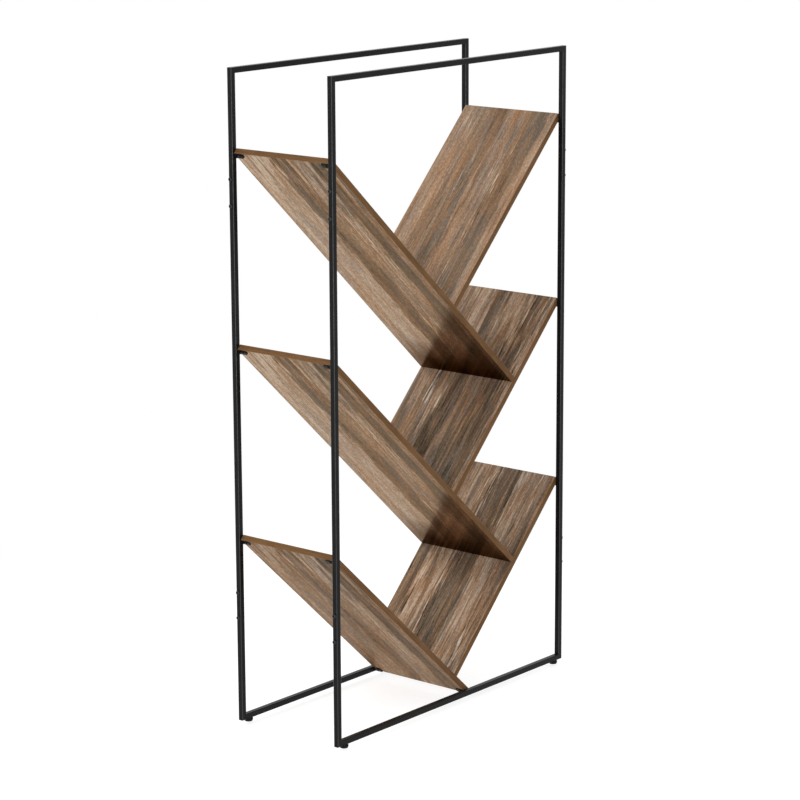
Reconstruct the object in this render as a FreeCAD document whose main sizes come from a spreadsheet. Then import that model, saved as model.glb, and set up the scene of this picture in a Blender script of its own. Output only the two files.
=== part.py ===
import FreeCAD, Part
import os
import Sketcher

# Zigzag bookshelf: two welded frames of square tube with six sloping boards held between them.
# Millimetres. +Z is up, +X runs to the right along the width, +Y to the back.
# The origin is on the floor, under the middle of the shelf, with the feet screwed right in.

# The driving dimensions, each with its word in the sheet and what it measures.
DIMENSIONS = (
    ("overall_height", 1512.5, "floor to the top of the frames"),
    ("frame_width", 838, "outside width of a frame, without the screw heads"),
    ("frame_depth", 305, "front face of the front frame to the back face of the back frame"),
    ("foot_height", 7.5, "floor to the underside of the bottom rails"),
    ("tube_side", 13, "side of the square tube"),
    ("tube_wall", 1.2, "wall of the square tube"),
    ("tube_corner", 1.5, "outside corner radius of the square tube"),
    ("section_length", 277, "height of the upper and lower sections of a frame"),
    ("sleeve_length", 100, "sleeve that joins two sections of a post"),
    ("sleeve_wall", 2, "wall of the sleeve"),
    ("sleeve_play", 0.15, "room on each side between sleeve and post"),
    ("post_screw_offset", 30, "post screw above or below its seam"),
    ("post_screw_radius", 2, "shank of a post screw"),
    ("post_screw_reach", 6, "post screw under its head"),
    ("post_head_radius", 5, "head of a post screw"),
    ("post_head_height", 4.5, "head of a post screw"),
    ("head_rim", 0.7, "straight rim of a screw head, share of its height"),
    ("head_crown", 0.7, "flat top of a screw head, share of its radius"),
    ("hole_play", 0.1, "radial room of a drilled hole round its fastener"),
    ("board_thickness", 14, "laminated board"),
    ("board_gap", 0.5, "board edge to frame, on each side"),
    ("edging_thickness", 0.5, "edge band on three sides of a board"),
    ("left_slope", 42.3, "fall of the left boards, degrees"),
    ("right_slope", 45.5, "fall of the right boards, degrees"),
    ("left_start", 1334.1, "height of the uppermost left board at its upper edge"),
    ("right_start", 1353.3, "height of the uppermost right board at its upper edge"),
    ("shelf_pitch", 442, "height from one board to the next on the same side"),
    ("tab_length", 15, "welded tab, along the slope"),
    ("tab_width", 24, "welded tab, out from its post"),
    ("tab_thickness", 2.5, "welded tab"),
    ("tab_corner", 5, "rounded free corners of a tab"),
    ("tab_screw_radius", 1.9, "shank of a tab screw"),
    ("tab_screw_reach", 11, "tab screw under its head"),
    ("tab_screw_point", 3, "tapered point of a tab screw"),
    ("tab_head_radius", 3.5, "head of a tab screw"),
    ("tab_head_height", 2.2, "head of a tab screw"),
    ("fastener_spread", 95, "cam or connecting screw from the middle of a board"),
    ("dowel_spread", 50, "dowel from the middle of a board"),
    ("dowel_radius", 4, "wooden dowel"),
    ("dowel_in_end", 20, "dowel hole in the end of the landing board"),
    ("dowel_in_face", 9, "dowel hole in the face of the carrying board"),
    ("dowel_chamfer", 1, "tapered ends of a dowel"),
    ("end_room", 0.5, "room past the end of a fastener in its hole"),
    ("cam_radius", 6, "cam lock"),
    ("cam_height", 10.5, "cam lock"),
    ("cam_setback", 24, "cam lock's axis from the end of its board"),
    ("cam_slot_width", 1.2, "driver slot in the cam lock"),
    ("cam_slot_length", 8, "driver slot in the cam lock"),
    ("cam_slot_depth", 1, "driver slot in the cam lock"),
    ("cam_bolt_radius", 2.1, "neck of the cam bolt"),
    ("cam_bolt_head", 2.9, "head of the cam bolt, radius"),
    ("cam_bolt_head_length", 5, "head of the cam bolt"),
    ("cam_bolt_thread", 2.5, "thread of the cam bolt, radius"),
    ("cam_bolt_bite", 9, "thread of the cam bolt, length"),
    ("cam_bolt_point", 1.5, "tapered ends of the cam bolt"),
    ("cam_passage", 3.4, "bolt hole into the cam lock, radius"),
    ("link_screw_radius", 2.4, "shank of a connecting screw"),
    ("link_screw_reach", 33, "connecting screw past the carrying board"),
    ("link_screw_point", 4, "tapered point of a connecting screw"),
    ("link_head_radius", 4.5, "countersunk head of a connecting screw"),
    ("link_head_height", 2.1, "countersunk head of a connecting screw"),
    ("link_head_rim", 0.8, "straight rim of a connecting screw's head"),
    ("link_head_sink", 0.3, "head below the underside of the carrying board"),
    ("foot_inset", 27, "foot's axis from the outer face of its post"),
    ("foot_top_radius", 10.5, "foot pad at its top"),
    ("foot_floor_radius", 9, "foot pad at the floor"),
    ("foot_rim", 1, "straight rim at the top of a foot pad"),
    ("foot_rounding", 1.5, "lower edge of a foot pad"),
    ("foot_gap", 0.3, "foot pad to insert when screwed right in"),
    ("stem_radius", 3, "threaded stem of a foot"),
    ("stem_in_pad", 4, "stem moulded into its pad"),
    ("stem_rise", 10.5, "stem above the underside of its rail"),
    ("stem_chamfer", 0.7, "top edge of a stem"),
    ("stem_play", 0.05, "radial room of a stem in its insert"),
    ("insert_radius", 4.5, "threaded insert inside the rail"),
    ("insert_length", 7.5, "threaded insert inside the rail"),
    ("insert_flange_radius", 5.5, "flange of the insert under the rail"),
    ("insert_flange", 0.8, "flange of the insert under the rail"),
    ("cut_margin", 2, "how far a cutting shape stands out of the work"),
)

doc = FreeCAD.newDocument("zigzag_bookshelf")
sheet = doc.addObject("Spreadsheet::Sheet", "Dimensions")
for row, (word, size, meaning) in enumerate(DIMENSIONS, start=1):
    sheet.set("A%d" % row, meaning)
    sheet.set("B%d" % row, str(size))
    sheet.setAlias("B%d" % row, word)
doc.recompute()

CELLS = {word: "Dimensions." + word for word, size, meaning in DIMENSIONS}
NEAR = 0.001
pieces = {}

# Places and lengths that follow from the driving dimensions.
POST_X = "({frame_width} / 2 - {tube_side} / 2)"
POST_Y = "({frame_depth} / 2 - {tube_side} / 2)"
INNER_X = "({frame_width} / 2 - {tube_side})"
INNER_Y = "({frame_depth} / 2 - {tube_side})"
UPPER_SEAM = "({overall_height} - {section_length})"
LOWER_SEAM = "({foot_height} + {section_length})"
BOARD_WIDTH = "(2 * %s - 2 * {board_gap})" % INNER_Y
MEETING = "({left_slope} + {right_slope})"
LEAD = "({left_start} - {right_start})"
LEFT_LENGTH = (
    "(((%s + {shelf_pitch}) * cos({right_slope}) + 2 * %s * sin({right_slope})) / sin(%s))"
    % (LEAD, INNER_X, MEETING)
)
RIGHT_LENGTH = (
    "((2 * %s * sin({left_slope}) - %s * cos({left_slope})) / sin(%s))" % (INNER_X, LEAD, MEETING)
)
LOWEST_LENGTH = (
    "(({left_start} - 2 * {shelf_pitch} - {foot_height} - {tube_side}) / sin({left_slope}))"
)
END_SLANT = "({board_thickness} / tan(%s))" % MEETING
HALF_THROUGH = "({board_thickness} / 2 / sin(%s))" % MEETING
LEFT_STATION = (
    "((%s * cos({right_slope}) + 2 * %s * sin({right_slope})) / sin(%s) + %s)"
    % (LEAD, INNER_X, MEETING, HALF_THROUGH)
)
RIGHT_STATION = (
    "((2 * %s * sin({left_slope}) - (%s + {shelf_pitch}) * cos({left_slope})) / sin(%s) + %s)"
    % (INNER_X, LEAD, MEETING, HALF_THROUGH)
)
TILT = "(90 - %s)" % MEETING
PAD_HEIGHT = "({foot_height} - {insert_flange} - {foot_gap})"
ALONG_X = "rotation(vector(0; 1; 0); 90)"
UPSIDE_DOWN = "rotation(vector(1; 0; 0); 180)"
TURNED = "rotation(vector(0; 0; 1); 180)"
UNTURNED = "rotation(vector(0; 0; 1); 0)"


def spelled(expression):
    """Write each {word} of an expression as its cell of the sheet."""
    return expression.format_map(CELLS)


def bind(item, name, expression):
    item.setExpression(name, spelled(expression))


def amount(expression):
    return float(sheet.evalExpression(spelled(expression)))


def placed(x, y, z, turn=UNTURNED):
    """A placement expression from three coordinates and a rotation."""
    return "placement(vector(%s; %s; %s); %s)" % (x, y, z, turn)


def on_sketch(body, name, plane):
    """Start a sketch on one of the body's own origin planes."""
    sketch = body.newObject("Sketcher::SketchObject", name)
    for feature in body.Origin.OriginFeatures:
        if feature.Role == plane:
            sketch.AttachmentSupport = (feature, "")
    sketch.MapMode = "FlatFace"
    return sketch


def fix_corner(sketch, line, kind, expression):
    """Fix one coordinate of a line's first point, measured from the sketch's origin."""
    size = amount(expression)
    if abs(size) < NEAR:
        axis = -2 if kind == "DistanceX" else -1
        sketch.addConstraint(Sketcher.Constraint("PointOnObject", line, 1, axis))
        return
    ends = (-1, 1, line, 1) if size > 0 else (line, 1, -1, 1)
    index = sketch.addConstraint(Sketcher.Constraint(kind, *ends, abs(size)))
    bind(sketch, "Constraints[%d]" % index, expression if size > 0 else "-(%s)" % expression)


def outline(sketch, corners):
    """Draw a closed polygon whose corners are pairs of expressions."""
    first = sketch.GeometryCount
    points = [FreeCAD.Vector(amount(x), amount(y), 0) for x, y in corners]
    for start, end in zip(points, points[1:] + points[:1]):
        sketch.addGeometry(Part.LineSegment(start, end), False)
    for step, (x, y) in enumerate(corners):
        before = first + (step - 1) % len(corners)
        sketch.addConstraint(Sketcher.Constraint("Coincident", before, 2, first + step, 1))
        fix_corner(sketch, first + step, "DistanceX", x)
        fix_corner(sketch, first + step, "DistanceY", y)


def padded(label, plane, outlines, length, both_ways=False):
    """A new body made by padding one or more outlines on an origin plane."""
    body = doc.addObject("PartDesign::Body", label)
    sketch = on_sketch(body, label + "_sketch", plane)
    for corners in outlines:
        outline(sketch, corners)
    feature = body.newObject("PartDesign::Pad", label + "_pad")
    feature.Profile = sketch
    if both_ways:
        feature.SideType = "Symmetric"
    bind(feature, "Length", length)
    doc.recompute([sketch, feature])
    return body


def turned(label, corners):
    """A new body made by turning an outline of (radius, height) corners about +Z."""
    body = doc.addObject("PartDesign::Body", label)
    sketch = on_sketch(body, label + "_sketch", "XZ_Plane")
    outline(sketch, corners)
    feature = body.newObject("PartDesign::Revolution", label + "_turning")
    feature.Profile = sketch
    feature.ReferenceAxis = (sketch, ["V_Axis"])
    feature.Angle = 360
    doc.recompute([sketch, feature])
    return body


def rounded(body, radius, wanted):
    """Fillet the edges of the body's last feature that the given test picks."""
    base = body.Tip
    names = ["Edge%d" % n for n, edge in enumerate(base.Shape.Edges, start=1) if wanted(edge)]
    feature = body.newObject("PartDesign::Fillet", body.Name + "_rounding")
    feature.Base = (base, names)
    bind(feature, "Radius", radius)
    doc.recompute([feature])


def upright(edge):
    """Whether an edge runs along +Z."""
    box = edge.BoundBox
    return box.ZLength > NEAR and box.XLength < NEAR and box.YLength < NEAR


def drill(body, radius, depth, place):
    """Cut a round hole whose axis starts at the placement and runs along its +Z."""
    hole = body.newObject("PartDesign::SubtractiveCylinder", body.Name + "_hole")
    bind(hole, "Radius", radius)
    bind(hole, "Height", depth)
    bind(hole, "Placement", place)


def carve(body, length, width, height, place):
    """Cut a box-shaped space whose corner is at the placement."""
    space = body.newObject("PartDesign::SubtractiveBox", body.Name + "_space")
    bind(space, "Length", length)
    bind(space, "Width", width)
    bind(space, "Height", height)
    bind(space, "Placement", place)


def keep(label, item, place=None):
    """Name a finished piece, put it in its place and list it for writing."""
    item.Label = label
    if place:
        bind(item, "Placement", place)
    pieces[label] = item
    return item


def keep_group(label, pattern, places):
    """Repeat one fastener at several places and keep the copies as one piece."""
    copies = []
    for place in places:
        copy = doc.addObject("App::Link", label + "_copy")
        copy.LinkedObject = pattern
        bind(copy, "Placement", place)
        copies.append(copy)
    group = doc.addObject("Part::Compound", label)
    group.Links = copies
    keep(label, group)


# Frame tubes. Each stands along its own +Z, with its +X side towards the inside of the frame.
def square_tube(label, length, side="{tube_side}", wall="{tube_wall}"):
    outside = "(%s / 2)" % side
    inside = "(%s / 2 - %s)" % (side, wall)
    squares = []
    for half in (outside, inside):
        less = "-" + half
        squares.append([(less, less), (half, less), (half, half), (less, half)])
    return padded(label, "XY_Plane", squares, length)


def round_long_edges(body):
    half = amount("{tube_side} / 2")

    def at_outer_corner(edge):
        middle = edge.CenterOfMass
        return upright(edge) and abs(abs(middle.x) - half) < NEAR and abs(abs(middle.y) - half) < NEAR

    rounded(body, "{tube_corner}", at_outer_corner)


def mitre(body, corner_x, corner_z, angle):
    """Cut an end of a tube at 45 degrees, with a block that lies along the cut."""
    turn = "rotation(vector(0; 1; 0); %d)" % angle
    wide = "({tube_side} + 2 * {cut_margin})"
    corner = placed(corner_x, "-%s / 2" % wide, corner_z, turn)
    carve(body, "{tube_side} * sqrt(2) + 2 * {cut_margin}", wide, "{tube_side}", corner)


def mitre_top(body, length):
    step = "{cut_margin} * cos(45)"
    mitre(body, "-{tube_side} / 2 - %s" % step, "%s + %s" % (length, step), 45)


def mitre_bottom(body):
    step = "{cut_margin} * cos(45)"
    mitre(body, "{tube_side} / 2 + %s" % step, "{tube_side} + %s" % step, 135)


def outer_wall_hole(body, radius, height, side="{tube_side}", wall="{tube_wall}"):
    start = placed("-%s / 2 - {cut_margin}" % side, "0", height, ALONG_X)
    drill(body, radius, wall + " + 2 * {cut_margin}", start)


POST_HOLE = "({post_screw_radius} + {hole_play})"
INSERT_HOLE = "({insert_radius} + {hole_play})"
MIDDLE_LENGTH = "(%s - %s)" % (UPPER_SEAM, LOWER_SEAM)
SIDES = {"front": "-", "back": ""}
HANDS = {"left": "-", "right": ""}


def post(label, x, y, z, hand, length, holes, mitred=None):
    body = square_tube(label, length)
    round_long_edges(body)
    if mitred == "top":
        mitre_top(body, length)
    if mitred == "bottom":
        mitre_bottom(body)
    for height in holes:
        outer_wall_hole(body, POST_HOLE, height)
    keep(label, body, placed(x, y, z, TURNED if hand == "right" else UNTURNED))


def rail(label, y, z, turn, holes=()):
    body = square_tube(label, "{frame_width}")
    round_long_edges(body)
    mitre_top(body, "{frame_width}")
    mitre_bottom(body)
    for distance in holes:
        outer_wall_hole(body, INSERT_HOLE, distance)
    keep(label, body, placed("-{frame_width} / 2", y, z, turn))


def make_frame(side):
    y = SIDES[side] + POST_Y
    top_turn = ALONG_X
    bottom_turn = "rotation(vector(0; 1; 0); 90) * rotation(vector(0; 0; 1); 180)"
    feet = ("{foot_inset}", "{frame_width} - {foot_inset}")
    rail(side + "_top_rail", y, "{overall_height} - {tube_side} / 2", top_turn)
    rail(side + "_bottom_rail", y, "{foot_height} + {tube_side} / 2", bottom_turn, feet)
    for hand, sign in HANDS.items():
        x = sign + POST_X
        name = "%s_%s" % (side, hand)
        above = "{post_screw_offset}"
        below = "{section_length} - {post_screw_offset}"
        both = (above, "%s - {post_screw_offset}" % MIDDLE_LENGTH)
        post(name + "_upper_post", x, y, UPPER_SEAM, hand, "{section_length}", (above,), "top")
        post(name + "_middle_post", x, y, LOWER_SEAM, hand, MIDDLE_LENGTH, both)
        post(name + "_lower_post", x, y, "{foot_height}", hand, "{section_length}", (below,), "bottom")


# Sleeves inside the posts, and the screws that hold the posts to them.
def make_post_joints():
    side = "({tube_side} - 2 * {tube_wall} - 2 * {sleeve_play})"
    sleeve = square_tube("sleeve_pattern", "{sleeve_length}", side, "{sleeve_wall}")
    for sign in ("-", "+"):
        height = "{sleeve_length} / 2 %s {post_screw_offset}" % sign
        outer_wall_hole(sleeve, POST_HOLE, height, side, "{sleeve_wall}")
    screw = turned("post_screw_pattern", [
        ("0", "-{post_screw_reach}"),
        ("{post_screw_radius}", "-{post_screw_reach}"),
        ("{post_screw_radius}", "0"),
        ("{post_head_radius}", "0"),
        ("{post_head_radius}", "{post_head_height} * {head_rim}"),
        ("{post_head_radius} * {head_crown}", "{post_head_height}"),
        ("0", "{post_head_height}"),
    ])
    sleeves = []
    screws = []
    for y in (sign + POST_Y for sign in SIDES.values()):
        for hand, sign in HANDS.items():
            outward = -90 if hand == "left" else 90
            turn = TURNED if hand == "right" else UNTURNED
            for seam in (UPPER_SEAM, LOWER_SEAM):
                sleeves.append(placed(sign + POST_X, y, seam + " - {sleeve_length} / 2", turn))
                for step in (" - {post_screw_offset}", " + {post_screw_offset}"):
                    facing = "rotation(vector(0; 1; 0); %d)" % outward
                    screws.append(placed(sign + "{frame_width} / 2", y, seam + step, facing))
    keep_group("post_sleeves", sleeve, sleeves)
    keep_group("post_screws", screw, screws)


# Boards. Each lies in its own frame: +X down the slope from the upper edge, +Z out of its top face.
LEVELS = ("upper", "middle", "lower")
LEFT_TURN = "rotation(vector(0; 1; 0); {left_slope})"
RIGHT_TURN = "rotation(vector(0; 1; 0); -{right_slope}) * " + TURNED


def board_place(hand, level):
    drop = "%d * {shelf_pitch}" % LEVELS.index(level)
    if hand == "left":
        return placed("-" + INNER_X, "0", "{left_start} - " + drop, LEFT_TURN)
    return placed(INNER_X, "0", "{right_start} - " + drop, RIGHT_TURN)


def board_length(hand, level):
    if hand == "right":
        return RIGHT_LENGTH
    return LOWEST_LENGTH if level == "lower" else LEFT_LENGTH


def carrying_hole(body, radius, depth, station, y):
    """A hole in the top face, in line with the board that lands there."""
    turn = "rotation(vector(0; 1; 0); %s)" % TILT
    x = "%s - %s * sin(%s)" % (station, depth, TILT)
    z = "-%s * cos(%s)" % (depth, TILT)
    drill(body, radius, depth + " + {cut_margin}", placed(x, y, z, turn))


def end_hole(body, radius, depth, length, y):
    """A hole in the lower end, at the middle of the thickness."""
    start = placed("%s - %s" % (length, depth), y, "-{board_thickness} / 2", ALONG_X)
    drill(body, radius, depth + " + {cut_margin}", start)


def underside_hole(body, radius, depth, x, y):
    start = placed(x, y, "-{board_thickness} - {cut_margin}")
    drill(body, radius, depth + " + {cut_margin}", start)


def both_sides(spread):
    return ("-{%s}" % spread, "{%s}" % spread)


DOWEL_HOLE = "({dowel_radius} + {hole_play})"
CAM_BOLT_HOLE = "({cam_bolt_thread} + {hole_play})"
LINK_HOLE = "({link_screw_radius} + {hole_play})"
TAB_MIDDLE_Y = "(%s - {tab_width} / 2)" % INNER_Y
PILOT_DEPTH = "({tab_screw_reach} - {tab_thickness} + {hole_play})"


def drill_landing_end(body, hand, length):
    for y in both_sides("dowel_spread"):
        end_hole(body, DOWEL_HOLE, "{dowel_in_end}", length, y)
    for y in both_sides("fastener_spread"):
        if hand == "left":
            end_hole(body, LINK_HOLE, "({link_screw_reach} + {end_room})", length, y)
        else:
            end_hole(body, "{cam_passage}", "{cam_setback}", length, y)
            x = "%s - {cam_setback}" % length
            underside_hole(body, "({cam_radius} + {hole_play})", "({cam_height} + {hole_play})", x, y)


def drill_carrying_face(body, hand):
    station = LEFT_STATION if hand == "left" else RIGHT_STATION
    for y in both_sides("dowel_spread"):
        carrying_hole(body, DOWEL_HOLE, "{dowel_in_face}", station, y)
    for y in both_sides("fastener_spread"):
        if hand == "left":
            carrying_hole(body, CAM_BOLT_HOLE, "({cam_bolt_bite} + {end_room})", station, y)
        else:
            through = "(2 * %s + {cut_margin})" % HALF_THROUGH
            carrying_hole(body, LINK_HOLE, through, station, y)
            sunk_head = "({link_head_height} + {link_head_sink} + {hole_play})"
            x = "%s - {board_thickness} * tan(%s)" % (station, TILT)
            underside_hole(body, "({link_head_radius} + {hole_play})", sunk_head, x, y)


def tab_screw_stations(hand, level):
    """Distances along the board at which tab screws bite into its underside."""
    stations = ["{tab_length} / 2"]
    if (hand, level) == ("left", "lower"):
        stations.append("%s - {tab_length} / 2" % LOWEST_LENGTH)
    return stations


def make_board(hand, level):
    label = "%s_shelf_%s" % (hand, level)
    place = board_place(hand, level)
    length = board_length(hand, level)
    lands = (hand, level) != ("left", "lower")
    under = "(%s - %s)" % (length, END_SLANT) if lands else length
    fall = "-{board_thickness}"
    edge = "{edging_thickness}"
    profile = [(edge, "0"), (length, "0"), (under, fall), (edge, fall)]
    body = padded(label, "XZ_Plane", [profile], "%s - 2 * {edging_thickness}" % BOARD_WIDTH, True)
    if lands:
        drill_landing_end(body, hand, "(%s - %s / 2)" % (length, END_SLANT))
    if hand == "left" or level != "upper":
        drill_carrying_face(body, hand)
    for x in tab_screw_stations(hand, level):
        for y in (TAB_MIDDLE_Y, "-" + TAB_MIDDLE_Y):
            underside_hole(body, "({tab_screw_radius} + {hole_play})", PILOT_DEPTH, x, y)
    keep(label, body, place)

    whole = [("0", "0"), (length, "0"), (under, fall), ("0", fall)]
    band = padded(label + "_edging", "XZ_Plane", [whole], BOARD_WIDTH, True)
    width = "(%s - 2 * {edging_thickness})" % BOARD_WIDTH
    corner = placed(edge, "-%s / 2" % width, "-{board_thickness} - {cut_margin}")
    carve(band, length, width, "{board_thickness} + 2 * {cut_margin}", corner)
    keep(label + "_edging", band, place)


# Tabs welded to the posts and bottom rails, under the boards, with a screw in each.
def make_tab(label, board, x, at_low_y):
    plate = [("0", "0"), ("{tab_length}", "0"), ("{tab_length}", "{tab_width}"), ("0", "{tab_width}")]
    body = padded(label, "XY_Plane", [plate], "{tab_thickness}")
    free_side = amount("{tab_width}")
    rounded(body, "{tab_corner}",
            lambda edge: upright(edge) and abs(edge.CenterOfMass.y - free_side) < NEAR)
    hole = placed("{tab_length} / 2", "{tab_width} / 2", "-{cut_margin}")
    drill(body, "({tab_screw_radius} + 2 * {hole_play})", "{tab_thickness} + 2 * {cut_margin}", hole)
    level = "-{board_thickness} - {tab_thickness}"
    if at_low_y:
        local = placed(x, "-" + INNER_Y, level)
    else:
        local = placed("%s + {tab_length}" % x, INNER_Y, level, TURNED)
    keep(label, body, "%s.Placement * %s" % (board, local))


def make_tabs():
    screw = turned("tab_screw_pattern", [
        ("0", "-{tab_screw_reach}"),
        ("{tab_screw_radius}", "{tab_screw_point} - {tab_screw_reach}"),
        ("{tab_screw_radius}", "0"),
        ("{tab_head_radius}", "0"),
        ("{tab_head_radius}", "{tab_head_height} * {head_rim}"),
        ("{tab_head_radius} * {head_crown}", "{tab_head_height}"),
        ("0", "{tab_head_height}"),
    ])
    screws = []
    for hand in HANDS:
        for level in LEVELS:
            board = "%s_shelf_%s" % (hand, level)
            # The right boards lie turned round, so their own +Y side faces the front.
            front_is_low_y = hand == "left"
            make_tab(board + "_front_tab", board, "0", front_is_low_y)
            make_tab(board + "_back_tab", board, "0", not front_is_low_y)
            for x in tab_screw_stations(hand, level):
                for y in (TAB_MIDDLE_Y, "-" + TAB_MIDDLE_Y):
                    local = placed(x, y, "-{board_thickness} - {tab_thickness}", UPSIDE_DOWN)
                    screws.append("%s.Placement * %s" % (board, local))
    lowest = "left_shelf_lower"
    start = "%s - {tab_length}" % LOWEST_LENGTH
    make_tab("front_rail_tab", lowest, start, True)
    make_tab("back_rail_tab", lowest, start, False)
    keep_group("tab_screws", screw, screws)


# Fasteners where one board lands on another. Their +Z runs from the landing end into the carrying face.
def landing_places(hand, levels, spread):
    places = []
    for level in levels:
        board = "%s_shelf_%s" % (hand, level)
        x = "%s - %s / 2" % (board_length(hand, level), END_SLANT)
        for y in both_sides(spread):
            local = placed(x, y, "-{board_thickness} / 2", ALONG_X)
            places.append("%s.Placement * %s" % (board, local))
    return places


def make_dowels():
    low = "{end_room} - {dowel_in_end}"
    high = "{dowel_in_face} - {end_room}"
    dowel = turned("dowel_pattern", [
        ("0", low),
        ("{dowel_radius} - {dowel_chamfer}", low),
        ("{dowel_radius}", low + " + {dowel_chamfer}"),
        ("{dowel_radius}", high + " - {dowel_chamfer}"),
        ("{dowel_radius} - {dowel_chamfer}", high),
        ("0", high),
    ])
    places = landing_places("right", LEVELS, "dowel_spread")
    places += landing_places("left", LEVELS[:2], "dowel_spread")
    keep_group("dowels", dowel, places)


def make_cam_fittings():
    neck = "{cam_bolt_head_length} - {cam_setback} - {cam_bolt_head}"
    tip = "-{cam_setback} - {cam_bolt_head}"
    bolt = turned("cam_bolt_pattern", [
        ("0", tip),
        ("{cam_bolt_head} * {head_crown}", tip),
        ("{cam_bolt_head}", tip + " + {cam_bolt_point}"),
        ("{cam_bolt_head}", neck),
        ("{cam_bolt_radius}", neck),
        ("{cam_bolt_radius}", "0"),
        ("{cam_bolt_thread}", "0"),
        ("{cam_bolt_thread}", "{cam_bolt_bite} - {cam_bolt_point}"),
        ("0", "{cam_bolt_bite}"),
    ])
    keep_group("cam_bolts", bolt, landing_places("right", LEVELS, "fastener_spread"))

    lock = turned("cam_lock_pattern", [
        ("0", "0"), ("{cam_radius}", "0"), ("{cam_radius}", "{cam_height}"), ("0", "{cam_height}")])
    passage = placed("-{cam_bolt_head} - {end_room}", "0", "{board_thickness} / 2", ALONG_X)
    drill(lock, "{cam_passage}", "{cam_radius} + 2 * {cut_margin} + {cam_bolt_head}", passage)
    for turn in (UNTURNED, "rotation(vector(0; 0; 1); 90)"):
        corner = placed("-{cam_slot_length} / 2", "-{cam_slot_width} / 2", "-{cut_margin}")
        depth = "{cam_slot_depth} + {cut_margin}"
        slot = "placement(vector(0; 0; 0); %s) * %s" % (turn, corner)
        carve(lock, "{cam_slot_length}", "{cam_slot_width}", depth, slot)
    places = []
    for level in LEVELS:
        x = "%s - %s / 2 - {cam_setback}" % (RIGHT_LENGTH, END_SLANT)
        for y in both_sides("fastener_spread"):
            local = placed(x, y, "-{board_thickness}")
            places.append("right_shelf_%s.Placement * %s" % (level, local))
    keep_group("cam_locks", lock, places)


def make_connecting_screws():
    tip = "-{link_screw_reach}"
    face = "2 * %s - {link_head_sink}" % HALF_THROUGH
    screw = turned("connecting_screw_pattern", [
        ("0", tip),
        ("{link_screw_radius}", tip + " + {link_screw_point}"),
        ("{link_screw_radius}", face + " - {link_head_height}"),
        ("{link_head_radius}", face + " - {link_head_rim}"),
        ("{link_head_radius}", face),
        ("0", face),
    ])
    keep_group("connecting_screws", screw, landing_places("left", LEVELS[:2], "fastener_spread"))


# Levelling feet: an insert in the rail, and a pad on a threaded stem.
def make_feet():
    bore = "({stem_radius} + {stem_play})"
    insert = turned("foot_insert_pattern", [
        (bore, "-{insert_flange}"),
        ("{insert_flange_radius}", "-{insert_flange}"),
        ("{insert_flange_radius}", "0"),
        ("{insert_radius}", "0"),
        ("{insert_radius}", "{insert_length}"),
        (bore, "{insert_length}"),
    ])
    inserts = []
    for side, side_sign in SIDES.items():
        for hand, hand_sign in HANDS.items():
            x = hand_sign + "({frame_width} / 2 - {foot_inset})"
            y = side_sign + POST_Y
            make_foot("%s_%s_foot" % (side, hand), placed(x, y, "0"))
            inserts.append(placed(x, y, "{foot_height}"))
    keep_group("foot_inserts", insert, inserts)


def make_foot(name, place):
    pad = turned(name + "_pad", [
        ("0", "0"),
        ("{foot_floor_radius}", "0"),
        ("{foot_top_radius}", PAD_HEIGHT + " - {foot_rim}"),
        ("{foot_top_radius}", PAD_HEIGHT),
        ("0", PAD_HEIGHT),
    ])
    rounded(pad, "{foot_rounding}", lambda edge: edge.BoundBox.ZMax < NEAR)
    socket = placed("0", "0", "%s - {stem_in_pad}" % PAD_HEIGHT)
    drill(pad, "({stem_radius} + {stem_play})", "{stem_in_pad} + {cut_margin}", socket)
    keep(name + "_pad", pad, place)

    low = "%s - {stem_in_pad} + {hole_play}" % PAD_HEIGHT
    high = "{foot_height} + {stem_rise}"
    stem = turned(name + "_stem", [
        ("0", low),
        ("{stem_radius}", low),
        ("{stem_radius}", high + " - {stem_chamfer}"),
        ("{stem_radius} - {stem_chamfer}", high),
        ("0", high),
    ])
    keep(name + "_stem", stem, place)


def check_document():
    """Stop if any object failed to compute or any piece isn't a valid solid."""
    for item in doc.Objects:
        if "Invalid" in item.State or "Error" in item.State:
            raise RuntimeError("%s failed: %s" % (item.Label, item.State))
    for label, item in pieces.items():
        shape = item.Shape
        if shape.isNull() or not shape.isValid() or not shape.Solids:
            raise RuntimeError("%s has no valid solid" % label)


for frame_side in SIDES:
    make_frame(frame_side)
make_post_joints()
for board_hand in HANDS:
    for board_level in LEVELS:
        make_board(board_hand, board_level)
doc.recompute()
make_tabs()
make_dowels()
make_cam_fittings()
make_connecting_screws()
make_feet()
doc.recompute()
check_document()

os.makedirs("parts", exist_ok=True)
for label, item in pieces.items():
    item.Shape.exportStep("parts/%s.step" % label)
print(len(pieces), "pieces written")
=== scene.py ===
import math

import bmesh
import bpy
from bpy.props import FloatProperty, FloatVectorProperty, IntProperty, PointerProperty
from mathutils import Euler, Matrix, Vector


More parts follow.
